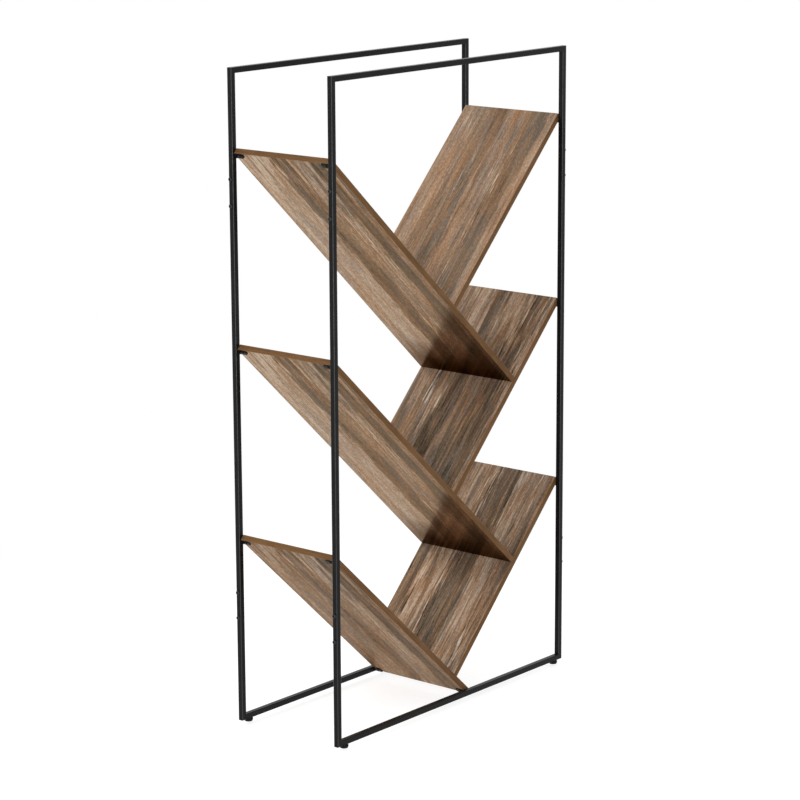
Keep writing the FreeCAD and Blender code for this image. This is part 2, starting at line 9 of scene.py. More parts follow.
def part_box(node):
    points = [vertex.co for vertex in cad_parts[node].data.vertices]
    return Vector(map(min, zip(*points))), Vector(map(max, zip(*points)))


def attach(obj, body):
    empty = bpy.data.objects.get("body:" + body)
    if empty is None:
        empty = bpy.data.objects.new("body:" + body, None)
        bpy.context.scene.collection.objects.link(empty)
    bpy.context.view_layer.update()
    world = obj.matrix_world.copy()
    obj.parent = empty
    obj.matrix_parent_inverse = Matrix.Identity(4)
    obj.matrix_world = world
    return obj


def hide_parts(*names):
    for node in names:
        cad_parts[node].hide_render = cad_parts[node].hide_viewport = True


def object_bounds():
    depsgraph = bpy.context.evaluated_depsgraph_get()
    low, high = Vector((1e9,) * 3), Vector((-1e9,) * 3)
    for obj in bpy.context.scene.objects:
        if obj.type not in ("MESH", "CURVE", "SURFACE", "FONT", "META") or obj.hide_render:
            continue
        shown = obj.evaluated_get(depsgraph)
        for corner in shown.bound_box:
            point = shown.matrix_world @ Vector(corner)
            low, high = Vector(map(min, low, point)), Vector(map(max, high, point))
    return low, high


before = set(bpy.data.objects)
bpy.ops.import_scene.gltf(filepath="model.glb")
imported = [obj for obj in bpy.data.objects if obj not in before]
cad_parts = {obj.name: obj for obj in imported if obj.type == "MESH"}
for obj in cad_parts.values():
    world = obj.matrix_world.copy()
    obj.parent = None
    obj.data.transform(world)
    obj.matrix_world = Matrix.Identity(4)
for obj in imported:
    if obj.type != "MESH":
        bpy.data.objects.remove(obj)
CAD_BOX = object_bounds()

bl_info = {
    "name": "Zigzag bookshelf",
    "version": (1, 0, 0),
    "blender": (4, 5, 0),
    "location": "3D View > Sidebar > Bookshelf",
    "description": "Dresses the tube frames, sloping boards, fittings and feet of a zigzag bookshelf",
    "category": "Object",
}

# Metres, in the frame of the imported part: +Z up, +X right along the width, +Y to the back.
SIDES = {"front": -1, "back": 1}
HANDS = {"left": -1, "right": 1}
LEVELS = ("upper", "middle", "lower")
POST_LOW, POST_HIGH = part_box("front_left_middle_post")
OUTER_X = -POST_LOW.x
INNER_X = -POST_HIGH.x
INNER_Y = -POST_HIGH.y
POST_X = -(POST_LOW.x + POST_HIGH.x) / 2
POST_Y = -(POST_LOW.y + POST_HIGH.y) / 2
SEAMS = (POST_LOW.z, POST_HIGH.z)
SCREW_TO_SEAM = 0.030
# From the middle of a post's face, where the shine of its rounded corner begins and where it is full.
CORNER_STRIP = (0.0048, 0.0057)
TAB_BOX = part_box("left_shelf_upper_front_tab")
TAB_REACH = TAB_BOX[1].y - TAB_BOX[0].y
TAB_LENGTH = 0.015
TAB_THICKNESS = 0.0025
BEAD_INSET = 0.0012
RIPPLE_SIZES = (0.86, 1.08)
# The steps of a domed screw head: the share of the dome's height, and the width beside the step below.
DOME_STEPS = ((0.42, 0.965), (0.30, 0.915), (0.18, 0.86), (0.10, 0.80))
PAD_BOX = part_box("front_left_foot_pad")

# The printed planks across each face: the share of the width from the front edge where a plank
# starts, and how light it is from 0, dark brown, to 1, cream.
LEFT_UNDERS = {
    "upper": ((0.0, 0.63), (0.07, 0.46), (0.21, 0.67), (0.43, 0.54), (0.63, 0.84)),
    "middle": ((0.0, 0.63), (0.07, 0.46), (0.21, 0.67), (0.43, 0.55), (0.63, 0.85)),
    "lower": ((0.0, 0.65), (0.07, 0.49), (0.21, 0.72), (0.43, 0.62), (0.63, 0.73)),
}
LEFT_TOP = ((0.0, 0.64), (0.13, 0.42), (0.31, 0.74), (0.52, 0.38), (0.72, 0.62))
RIGHT_UNDER = ((0.0, 0.42), (0.12, 0.66), (0.42, 0.38), (0.57, 0.72), (0.83, 0.46))
RIGHT_TOPS = {
    "upper": ((0.0, 0.70), (0.07, 0.54), (0.27, 0.62), (0.34, 0.66), (0.51, 0.52), (0.61, 0.60),
              (0.79, 0.68)),
    "middle": ((0.0, 0.76), (0.055, 0.49), (0.215, 0.60), (0.475, 0.47), (0.63, 0.68), (0.78, 0.66)),
    "lower": ((0.0, 0.56), (0.10, 0.74), (0.35, 0.46), (0.59, 0.66), (0.86, 0.50)),
}
# Half the width of the step from one plank's tone to the next, and how far a plank's worn edge reaches,
# as shares of the board's width.
LEFT_PLANK_STEP = 0.012
RIGHT_PLANK_STEP = 0.006
PLANK_EDGE = 0.050
# How much lighter a right board is at its upper end and lower down, where down the slope that changes, and
# how weathered the print is. On the middle board the darker tone lower down is painted shade, where the left
# board that lands on it covers it.
RIGHT_TONE_AND_SHADE = {"upper": (0.0, 0.0), "middle": (0.07, -0.15), "lower": (0.06, 0.0)}
RIGHT_TONE_AND_SHADE_RUN = (0.15, 0.50)
RIGHT_WEATHER = {"upper": 0.65, "middle": 1.35, "lower": 1.5}
# How weathered a left board's print is at its upper end and lower down, and where that changes.
LEFT_WEATHER = (1.5, 0.5)
LEFT_WEATHER_RUN = (0.05, 0.34)
# Where on the endless print the right boards begin, how far off the undersides are, and how far apart
# the edge bands begin.
RIGHT_PRINT_START = 2.3
RIGHT_PRINT_STEP = 1.9
UNDER_PRINT_SHIFT = 5.1
UNDER_PRINT_DEPTH = 0.7
BAND_PRINT_STEP = 0.37
# How far in from a board's open sides the painted corner shade is thinner, and its share at the very edge.
OPEN_SIDE = 0.05
OPEN_SIDE_PAINTED_SHADE = 0.6

# The streaks of the prints and of the dowels: length, width and octaves of detail.
STREAKS = {
    "plank_wander": (0.24, 0.05, 3.0),
    "plank_feather": (0.045, 0.0045, 5.0),
    "plank_wave": (0.13, 0.04, 2.0),
    "drift": (0.24, 0.040, 3.0),
    "broad": (0.19, 0.0135, 5.0),
    "thin": (0.080, 0.0046, 5.0),
    "speckle": (0.0075, 0.0036, 3.0),
    "pores": (0.010, 0.0012, 4.0),
    "tongue": (0.20, 0.026, 3.0),
    "weather": (0.30, 0.045, 2.0),
    "faded": (0.22, 0.020, 3.0),
    "band_broad": (0.055, 0.0035, 4.0),
    "band_fine": (0.014, 0.0008, 3.0),
    "band_patch": (0.11, 0.03, 2.0),
    "dowel_grain": (0.02, 0.0009, 4.0),
}
# The streak's value at which a layer of the plank print sets in, and at which it is full.
SETS_IN = {
    "light_band": (0.10, 0.16),
    "dark_band": (-0.10, -0.16),
    "tongue": (0.10, 0.16),
    "paint": (0.20, 0.42),
    "paint_patch": (0.1, 0.7),
    "crack": (-0.20, -0.42),
    "crack_patch": (-0.1, -0.6),
}
# How far each layer lightens a plank, or darkens it.
LIGHTENS = {
    "drift": 0.06,
    "speckle": 0.15,
    "pores": 0.08,
    "thin": 0.09,
    "light_band": 0.075,
    "dark_band": -0.085,
    "tongue": -0.07,
    "paint": 0.46,
    "crack": -0.46,
}

# The studio: half the floor's side, its tone and glow as the camera sees it, how far from the middle
# it fades to white, the lamps' aim and the picture's side in pixels.
WHITE = (1.0, 1.0, 1.0, 1.0)
FLOOR_HALF = 7.0
FLOOR_SEEN = (0.45, 0.45, 0.45, 1.0)
FLOOR_GLOW = 0.76
FLOOR_FADE = (0.7, 1.7)
LAMP_AIM = Vector((0.0, 0.0, 0.75))
PICTURE_SIDE = 800.0


def length_setting(name, description, default):
    return FloatProperty(name=name, description=description, default=default, min=0.0,
                         subtype="DISTANCE", unit="LENGTH", precision=5)


def angle_setting(name, description, degrees):
    return FloatProperty(name=name, description=description, default=math.radians(degrees),
                         subtype="ANGLE", unit="ROTATION")


def colour_setting(name, description, default):
    return FloatVectorProperty(name=name, description=description, default=default, size=3,
                               min=0.0, max=1.0, subtype="COLOR")


def share_setting(name, description, default):
    return FloatProperty(name=name, description=description, default=default, min=0.0, max=1.0,
                         subtype="FACTOR")


def power_setting(name, description, watts):
    return FloatProperty(name=name, description=description, default=watts, min=0.0, unit="POWER")


class ShelfFrameSettings(bpy.types.PropertyGroup):
    coat_colour: colour_setting("Coat", "Powder coat of the tubes and tabs", (0.0054, 0.0054, 0.0056))
    coat_light: colour_setting("Coat mottle", "Lighter patches of the powder coat", (0.0086, 0.0087, 0.0090))
    coat_roughness: share_setting("Roughness", "How dull the powder coat is", 0.30)
    peel_size: length_setting("Peel size", "Grain of the powder coat's skin", 0.0007)
    seam_height: length_setting("Seam", "Height of the dark line where two post sections meet", 0.0009)
    seam_colour: colour_setting("Seam colour", "The line where two post sections meet", (0.002, 0.002, 0.002))
    bead_radius: length_setting("Weld bead", "Radius of the weld bead under a tab", 0.0013)
    bead_spacing: length_setting("Weld spacing", "From one ripple of a weld bead to the next", 0.0011)


class ShelfBoardSettings(bpy.types.PropertyGroup):
    left_slope: angle_setting("Left slope", "Fall of the boards that start at the left posts", 42.3)
    right_slope: angle_setting("Right slope", "Fall of the boards that start at the right posts", 45.5)
    thickness: length_setting("Thickness", "Laminated board", 0.014)
    band_thickness: length_setting("Band thickness", "Edge band on three sides of a board", 0.0005)
    band_ease: length_setting("Band easing", "Rounding of the edge band's outer edges", 0.0004)
    dark: colour_setting("Dark brown", "Darkest streaks of the print", (0.024, 0.013, 0.007))
    taupe: colour_setting("Taupe", "Weathered grey planks of the print", (0.112, 0.078, 0.050))
    brown: colour_setting("Brown", "Middle brown of the print", (0.186, 0.124, 0.080))
    tan: colour_setting("Tan", "Warm tan planks of the print", (0.318, 0.188, 0.109))
    pale: colour_setting("Pale tan", "Light planks of the print", (0.450, 0.307, 0.207))
    cream: colour_setting("Cream", "Pale flecks of the print", (0.640, 0.520, 0.410))
    band_dark: colour_setting("Band dark", "Dark grain of the edge band", (0.092, 0.042, 0.013))
    band_light: colour_setting("Band light", "Light grain of the edge band", (0.205, 0.104, 0.041))
    top_roughness: share_setting("Top roughness", "How dull the laminate is on top", 0.36)
    top_tinted: share_setting(
        "Top tinted gloss", "Share of the top's gloss that takes the print's colour", 0.32)
    roughness: share_setting("Under roughness", "How dull the laminate is underneath", 0.23)
    tinted: share_setting(
        "Under tinted gloss", "Share of the underside's gloss that takes the print's colour", 0.85)
    low_roughness: share_setting(
        "Lowest roughness", "How dull the laminate is under the lowest board", 0.48)
    low_tinted: share_setting(
        "Lowest tinted gloss", "Share of gloss under the lowest board that takes the print's colour", 0.75)
    # The inside corners under a board's lower end get painted shade: a dark colour in place of the shade that
    # falls there.
    grime: share_setting("Corner grime", "How dark the inside corners are under a board's lower end", 0.98)
    grime_thin: colour_setting(
        "Thin grime", "Edge of the grime in the inside corners", (0.082, 0.022, 0.0055))
    grime_thick: colour_setting(
        "Thick grime", "Grime deep in the inside corners", (0.019, 0.0028, 0.0010))
    grime_reach: length_setting("Grime reach", "How far the dark corners reach along a board", 0.19)


class ShelfFittingSettings(bpy.types.PropertyGroup):
    post_head_radius: length_setting("Post screw head", "Radius of a post screw's head", 0.0050)
    post_head_height: length_setting("Post screw height", "Height of a post screw's head", 0.0045)
    tab_head_radius: length_setting("Tab screw head", "Radius of a tab screw's head", 0.0035)
    tab_head_height: length_setting("Tab screw height", "Height of a tab screw's head", 0.0022)
    link_head_radius: length_setting("Connecting screw head", "Radius of a connecting screw's head", 0.0045)
    link_head_height: length_setting("Connecting screw height", "Rim of a connecting screw's head", 0.0008)
    link_head_sink: length_setting("Connecting screw sink", "Connecting screw below its board's face", 0.0003)
    link_spread: length_setting(
        "Connecting screw spread", "Connecting screw from the middle of a board", 0.095)
    black: colour_setting("Black screws", "Blackened screws", (0.016, 0.016, 0.017))
    zinc: colour_setting("Zinc", "Zinc plated fittings", (0.60, 0.61, 0.62))
    steel: colour_setting("Steel", "Plain steel of sleeves and inserts", (0.42, 0.42, 0.43))
    wood: colour_setting("Dowel wood", "Pale wood of the dowels", (0.56, 0.40, 0.24))
    seed: IntProperty(name="Seed", description="Chooses how far each screw is turned", default=7, min=0)


class ShelfFootSettings(bpy.types.PropertyGroup):
    top_radius: length_setting("Top radius", "Foot pad at its top", (PAD_BOX[1].y - PAD_BOX[0].y) / 2)
    floor_radius: length_setting("Floor radius", "Foot pad at the floor", 0.009)
    rim: length_setting("Rim", "Straight rim at the top of a pad", 0.001)
    rounding: length_setting("Rounding", "Lower edge of a pad", 0.0015)
    thread_pitch: length_setting("Thread pitch", "One turn of the stem's thread", 0.001)
    thread_depth: length_setting("Thread depth", "Depth of the stem's thread", 0.00055)
    plastic: colour_setting("Plastic", "Moulded plastic of the pads", (0.006, 0.006, 0.0065))
    stem: colour_setting("Stem", "Plated steel of the stems", (0.50, 0.50, 0.51))


class ShelfStageSettings(bpy.types.PropertyGroup):
    foot_room: length_setting("Foot room", "Room below the feet for them to screw out", 0.0062)
    yaw: angle_setting("Yaw", "Camera's heading, from +Y towards +X", 50.122)
    pitch: angle_setting("Pitch", "Camera's look downward", 12.716)
    roll: angle_setting("Roll", "Camera's lean", 0.289)
    distance: length_setting("Distance", "Camera to the middle of the shelf", 6.6023)
    focal: FloatProperty(name="Focal length", description="In pixels of a picture 800 wide", default=2835.6)
    aim: FloatVectorProperty(name="Aim", description="Where the shelf's middle falls in the 800 picture",
                             default=(403.90, 381.50), size=2)
    floor: colour_setting("Floor", "Pale floor as it lights the shelf", (0.80, 0.80, 0.80))
    surround: FloatProperty(name="Surround", description="Even light from all sides", default=0.85, min=0.0)
    key_power: power_setting("Key light", "Soft light from above and left", 30.0)
    front_power: power_setting("Front light", "Small light from low before the shelf", 40.0)
    low_power: power_setting("Low light", "Soft light from low on the left", 12.0)


class Board:
    """One board in its own frame: down its slope, across it and out of its top face."""

    def __init__(self, name, settings):
        low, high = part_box(name + "_edging")
        hand, _, level = name.split("_")
        self.name = name
        self.level = level
        self.left = hand == "left"
        self.lowest = name == "left_shelf_lower"
        self.slope = settings.left_slope if self.left else settings.right_slope
        self.origin = Vector((HANDS[hand] * INNER_X, 0.0, high.z))
        self.turn = Euler((0.0, self.slope, 0.0 if self.left else math.pi))
        self.frame = Matrix.LocRotScale(self.origin, self.turn, None)
        self.half = (high.y - low.y) / 2
        reach = high.x + INNER_X if self.left else INNER_X - low.x
        self.length = reach / math.cos(self.slope)
        self.slant = 0.0 if self.lowest else 1 / math.tan(settings.left_slope + settings.right_slope)
        self.toward_back = 1 if self.left else -1

    def at(self, down, across, out):
        return self.frame @ Vector((down, across, out))

    def along(self, down, across, out):
        return (self.frame.to_3x3() @ Vector((down, across, out))).normalized()

    def end(self, out):
        """How far down its slope the slanted lower end is, at a height from the top face."""
        return self.length + out * self.slant


def shelf_boards(settings):
    return [Board("%s_shelf_%s" % (hand, level), settings) for hand in HANDS for level in LEVELS]


# Node trees
class Wiring:
    """Adds nodes to one tree and joins their sockets."""

    def __init__(self, tree):
        self.tree = tree

    def add(self, kind, values=None, **settings):
        node = self.tree.nodes.new(kind)
        for name, setting in settings.items():
            setattr(node, name, setting)
        for socket, value in (values or {}).items():
            self.feed(node.inputs[socket], value)
        return node

    def feed(self, socket, value):
        if isinstance(value, bpy.types.NodeSocket):
            self.tree.links.new(value, socket)
        else:
            socket.default_value = value

    def maths(self, operation, *values, clamp=False):
        node = self.add("ShaderNodeMath", operation=operation, use_clamp=clamp)
        for socket, value in zip(node.inputs, values):
            self.feed(socket, value)
        return node.outputs[0]

    def vectors(self, operation, *values):
        node = self.add("ShaderNodeVectorMath", operation=operation)
        for socket, value in zip(node.inputs, values):
            self.feed(socket, value)
        return node.outputs["Vector"]

    def combine(self, x, y, z):
        return self.add("ShaderNodeCombineXYZ", {"X": x, "Y": y, "Z": z}).outputs[0]

    def stretch(self, value, low, high, to_low=0.0, to_high=1.0, kind="LINEAR"):
        return self.add("ShaderNodeMapRange", {
            "Value": value, "From Min": low, "From Max": high, "To Min": to_low, "To Max": to_high,
        }, interpolation_type=kind, clamp=True).outputs["Result"]

    def noise(self, vector, scale, detail=3.0, roughness=0.55):
        return self.add("ShaderNodeTexNoise", {
            "Vector": vector, "Scale": scale, "Detail": detail, "Roughness": roughness,
        }, noise_dimensions="3D").outputs["Fac"]

    def blend(self, share, first, second):
        node = self.add("ShaderNodeMix", data_type="RGBA")
        self.feed(node.inputs[0], share)
        for socket, value in ((node.inputs[6], first), (node.inputs[7], second)):
            self.feed(socket, value if isinstance(value, bpy.types.NodeSocket) else (*value, 1.0))
        return node.outputs[2]

    def apart(self, value, middle):
        return self.maths("ABSOLUTE", self.maths("SUBTRACT", value, middle))

    def place(self, group, **values):
        node = self.add("ShaderNodeGroup", node_tree=group)
        for name, value in values.items():
            self.feed(node.inputs[name.title()], value)
        return node.outputs

    def ramp(self, share, stops):
        node = self.add("ShaderNodeValToRGB", {"Fac": share})
        elements = node.color_ramp.elements
        while len(elements) < len(stops):
            elements.new(0.5)
        for element, (position, colour) in zip(elements, stops):
            element.position = position
            element.color = (*colour, 1.0)
        return node.outputs["Color"]

    def lifted(self, geometry, height):
        return self.add("GeometryNodeTransform", {
            "Geometry": geometry, "Translation": self.combine(0.0, 0.0, height)}).outputs[0]

    def cylinder(self, sides, radius, depth):
        return self.add("GeometryNodeMeshCylinder", {
            "Vertices": sides, "Radius": radius, "Depth": depth}, fill_type="NGON").outputs

    def chance(self, low, high, seed):
        """A random number for each point."""
        node = self.add("FunctionNodeRandomValue", data_type="FLOAT")
        values = {socket.identifier: socket for socket in node.inputs}
        for name, value in (("Min_001", low), ("Max_001", high), ("Seed", seed)):
            self.feed(values[name], value)
        return next(socket for socket in node.outputs if socket.identifier == "Value_001")


def new_group(name, kind, inputs, outputs):
    tree = bpy.data.node_groups.new(name, kind)
    for label, socket_type, default in inputs:
        socket = tree.interface.new_socket(name=label, in_out="INPUT", socket_type=socket_type)
        if default is not None:
            socket.default_value = default
    for label, socket_type in outputs:
        tree.interface.new_socket(name=label, in_out="OUTPUT", socket_type=socket_type)
    wiring = Wiring(tree)
    start = wiring.add("NodeGroupInput").outputs
    finish = wiring.add("NodeGroupOutput").inputs
    return tree, wiring, start, finish


def shared_group(build):
    """The node group that a function builds, named after it and built the first time it is asked for."""
    name = build.__name__.replace("_", " ").capitalize()
    return bpy.data.node_groups.get(name) or build(name)


def grain_streaks(name):
    """Long thin streaks from -1 to 1 that run along the vector's first axis."""
    tree, wiring, start, finish = new_group(name, "ShaderNodeTree", [
        ("Vector", "NodeSocketVector", None),
        ("Length", "NodeSocketFloat", 0.15),
        ("Width", "NodeSocketFloat", 0.006),
        ("Detail", "NodeSocketFloat", 3.0),
    ], [("Streak", "NodeSocketFloat")])
    size = wiring.combine(start["Length"], start["Width"], start["Width"])
    pulled = wiring.vectors("DIVIDE", start["Vector"], size)
    grain = wiring.noise(pulled, 1.0, start["Detail"], 0.6)
    wiring.feed(finish["Streak"], wiring.stretch(grain, 0.25, 0.75, -1.0, 1.0))
    return tree


def streak(wiring, vector, label):
    length, width, detail = STREAKS[label]
    group = shared_group(grain_streaks)
    return wiring.place(group, vector=vector, length=length, width=width, detail=detail)["Streak"]


def edge_wear(name):
    """A broken pale line along an edge, from the distance to that edge: partly wear, partly a painted
    highlight of the edge.
    """
    tree, wiring, start, finish = new_group(name, "ShaderNodeTree", [
        ("Vector", "NodeSocketVector", None),
        ("Distance", "NodeSocketFloat", 0.0),
        ("Reach", "NodeSocketFloat", 0.002),
        ("Patch", "NodeSocketFloat", 0.02),
    ], [("Wear", "NodeSocketFloat")])
    reached = wiring.maths("DIVIDE", start["Distance"], start["Reach"])
    near = wiring.stretch(reached, 1.0, 0.2, kind="SMOOTHSTEP")
    patches = wiring.noise(start["Vector"], wiring.maths("DIVIDE", 1.0, start["Patch"]), 4.0)
    broken = wiring.stretch(patches, 0.32, 0.62)
    wiring.feed(finish["Wear"], wiring.maths("MULTIPLY", near, broken))
    return tree


def corner_grime(name):
    """A soft patch of painted shade, full in an inside corner, that fades out away from it."""
    tree, wiring, start, finish = new_group(name, "ShaderNodeTree", [
        ("Vector", "NodeSocketVector", None),
        ("Distance", "NodeSocketFloat", 0.0),
        ("Reach", "NodeSocketFloat", 0.15),
    ], [("Grime", "NodeSocketFloat")])
    uneven = wiring.maths("MULTIPLY_ADD", wiring.noise(start["Vector"], 14.0, 3.0), 0.5, -0.25)
    away = wiring.maths("ADD", wiring.maths("DIVIDE", start["Distance"], start["Reach"]), uneven)
    wiring.feed(finish["Grime"], wiring.stretch(away, 1.0, 0.0, kind="SMOOTHSTEP"))
    return tree


def fine_pebble(name):
    """The skin of a coating or moulding: a pebbled height and a slow mottle, both from 0 to 1."""
    tree, wiring, start, finish = new_group(name, "ShaderNodeTree", [
        ("Vector", "NodeSocketVector", None),
        ("Size", "NodeSocketFloat", 0.001),
        ("Patch", "NodeSocketFloat", 0.03),
    ], [("Height", "NodeSocketFloat"), ("Mottle", "NodeSocketFloat")])
    pebble = wiring.noise(start["Vector"], wiring.maths("DIVIDE", 1.0, start["Size"]), 2.0, 0.5)
    patches = wiring.noise(start["Vector"], wiring.maths("DIVIDE", 1.0, start["Patch"]), 4.0)
    wiring.feed(finish["Height"], pebble)
    wiring.feed(finish["Mottle"], wiring.stretch(patches, 0.3, 0.7))
    return tree


def ragged_planks(name):
    """The place across a board, with the feathered edges of its printed planks, and its wavy grain."""
    tree, wiring, start, finish = new_group(name, "ShaderNodeTree", [
        ("Vector", "NodeSocketVector", None),
        ("Across", "NodeSocketFloat", 0.5),
        ("Wander", "NodeSocketFloat", 0.045),
        ("Feather", "NodeSocketFloat", 0.014),
        ("Wave", "NodeSocketFloat", 0.0022),
    ], [("Across", "NodeSocketFloat"), ("Vector", "NodeSocketVector")])
    slow, quick, bend = [streak(wiring, start["Vector"], label)
                         for label in ("plank_wander", "plank_feather", "plank_wave")]
    wandered = wiring.maths("MULTIPLY_ADD", slow, start["Wander"], start["Across"])
    wiring.feed(finish["Across"], wiring.maths("MULTIPLY_ADD", quick, start["Feather"], wandered))
    wave = wiring.combine(0.0, wiring.maths("MULTIPLY", bend, start["Wave"]), 0.0)
    wiring.feed(finish["Vector"], wiring.vectors("ADD", start["Vector"], wave))
    return tree


def plank_print(name):
    """Turns a plank's lightness into its weathered colour, with streaks, flecks and pores."""
    settings = bpy.context.scene.shelf_boards
    tree, wiring, start, finish = new_group(name, "ShaderNodeTree", [
        ("Vector", "NodeSocketVector", None),
        ("Tone", "NodeSocketFloat", 0.5),
        ("Edge", "NodeSocketFloat", 0.0),
        ("Weather", "NodeSocketFloat", 1.0),
    ], [("Color", "NodeSocketColor"), ("Height", "NodeSocketFloat")])
    layers = {label: streak(wiring, start["Vector"], label) for label in (
        "drift", "broad", "thin", "speckle", "pores", "tongue", "weather", "faded")}
    tone = start["Tone"]
    for label in ("drift", "speckle", "pores"):
        tone = wiring.maths("MULTIPLY_ADD", layers[label], LIGHTENS[label], tone)
    # The broad streaks are bands with sharp sides, some lighter and some darker.
    bands = [wiring.stretch(layers["broad"], *SETS_IN[label], 0.0, LIGHTENS[label])
             for label in ("light_band", "dark_band")]
    lines = wiring.maths("MULTIPLY_ADD", layers["thin"], LIGHTENS["thin"], wiring.maths("ADD", *bands))
    tone = wiring.maths("MULTIPLY_ADD", lines, start["Weather"], tone)
    # Tongues of grey with sharp sides lie over the planks.
    grey = wiring.stretch(layers["tongue"], *SETS_IN["tongue"])
    tone = wiring.maths("MULTIPLY_ADD", grey, LIGHTENS["tongue"], tone)
    # Pale flecks of old paint and dark cracks gather along the planks' edges and in weathered patches.
    patches = wiring.stretch(layers["weather"], -0.05, 0.40, 0.15, 1.0)
    patchy = wiring.maths("MULTIPLY", patches, start["Weather"])
    for label in ("paint", "crack"):
        patch = wiring.stretch(layers["drift"], *SETS_IN[label + "_patch"])
        gathered = wiring.maths("MULTIPLY", wiring.maths("MAXIMUM", patch, start["Edge"]), patchy)
        share = wiring.maths("MULTIPLY", wiring.stretch(layers["thin"], *SETS_IN[label]), gathered)
        tone = wiring.maths("MULTIPLY_ADD", share, LIGHTENS[label], tone)
    colour = wiring.ramp(tone, (
        (0.00, settings.dark), (0.28, settings.taupe), (0.46, settings.brown),
        (0.64, settings.tan), (0.80, settings.pale), (1.00, settings.cream)))
    # Some stretches of a plank have weathered to grey and others stay warm.
    hue = wiring.stretch(layers["faded"], -0.6, 0.6, 0.506, 0.497)
    strength = wiring.stretch(layers["faded"], -0.6, 0.6, 0.86, 1.10)
    saturation = wiring.maths("MULTIPLY_ADD", grey, -0.14, strength)
    wiring.feed(finish["Color"], wiring.add("ShaderNodeHueSaturation", {
        "Color": colour, "Hue": hue, "Saturation": saturation}).outputs[0])
    specks = wiring.maths("MULTIPLY", layers["speckle"], 0.35)
    grain = wiring.maths("MULTIPLY_ADD", layers["thin"], 0.25, specks)
    wiring.feed(finish["Height"], wiring.maths("ADD", grain, 0.5))
    return tree


def new_material(name, coordinates="Object", **values):
    material = bpy.data.materials.new(name)
    material.use_nodes = True
    tree = material.node_tree
    tree.nodes.clear()
    wiring = Wiring(tree)
    shader = wiring.add("ShaderNodeBsdfPrincipled", values)
    output = wiring.add("ShaderNodeOutputMaterial", {"Surface": shader.outputs[0]})
    output.is_active_output = True
    return material, wiring, shader.inputs, wiring.add("ShaderNodeTexCoord").outputs[coordinates]


def bumped(wiring, inputs, height, distance, strength):
    bump = wiring.add("ShaderNodeBump", {"Height": height, "Distance": distance, "Strength": strength})
    wiring.feed(inputs["Normal"], bump.outputs["Normal"])


def powder_coat(name, shine, corners=False):
    settings = bpy.context.scene.shelf_frame
    material, wiring, inputs, place = new_material(name, **{
        "Specular IOR Level": shine, "Coat Roughness": 0.35, "Coat IOR": 1.5})
    skin = wiring.place(shared_group(fine_pebble), vector=place, size=settings.peel_size, patch=0.035)
    colour = wiring.blend(skin["Mottle"], settings.coat_colour, settings.coat_light)
    parts = wiring.add("ShaderNodeSeparateXYZ", {"Vector": place}).outputs
    if corners:
        # The rounded corners of a post shine more than its faces.
        off = [wiring.apart(wiring.maths("ABSOLUTE", parts[axis]), middle)
               for axis, middle in (("X", POST_X), ("Y", POST_Y))]
        wiring.feed(inputs["Coat Weight"], wiring.stretch(wiring.maths("MINIMUM", *off), *CORNER_STRIP))
    height = settings.seam_height
    lines = [wiring.stretch(wiring.apart(parts["Z"], seam), height / 2, height / 5) for seam in SEAMS]
    gap = wiring.maths("MAXIMUM", *lines)
    wiring.feed(inputs["Base Color"], wiring.blend(gap, colour, settings.seam_colour))
    dull = wiring.stretch(skin["Mottle"], 0.0, 1.0,
                          settings.coat_roughness - 0.04, settings.coat_roughness + 0.05)
    wiring.feed(inputs["Roughness"], wiring.maths("MAXIMUM", dull, gap))
    bumped(wiring, inputs, skin["Height"], distance=0.00006, strength=0.2)
    return material


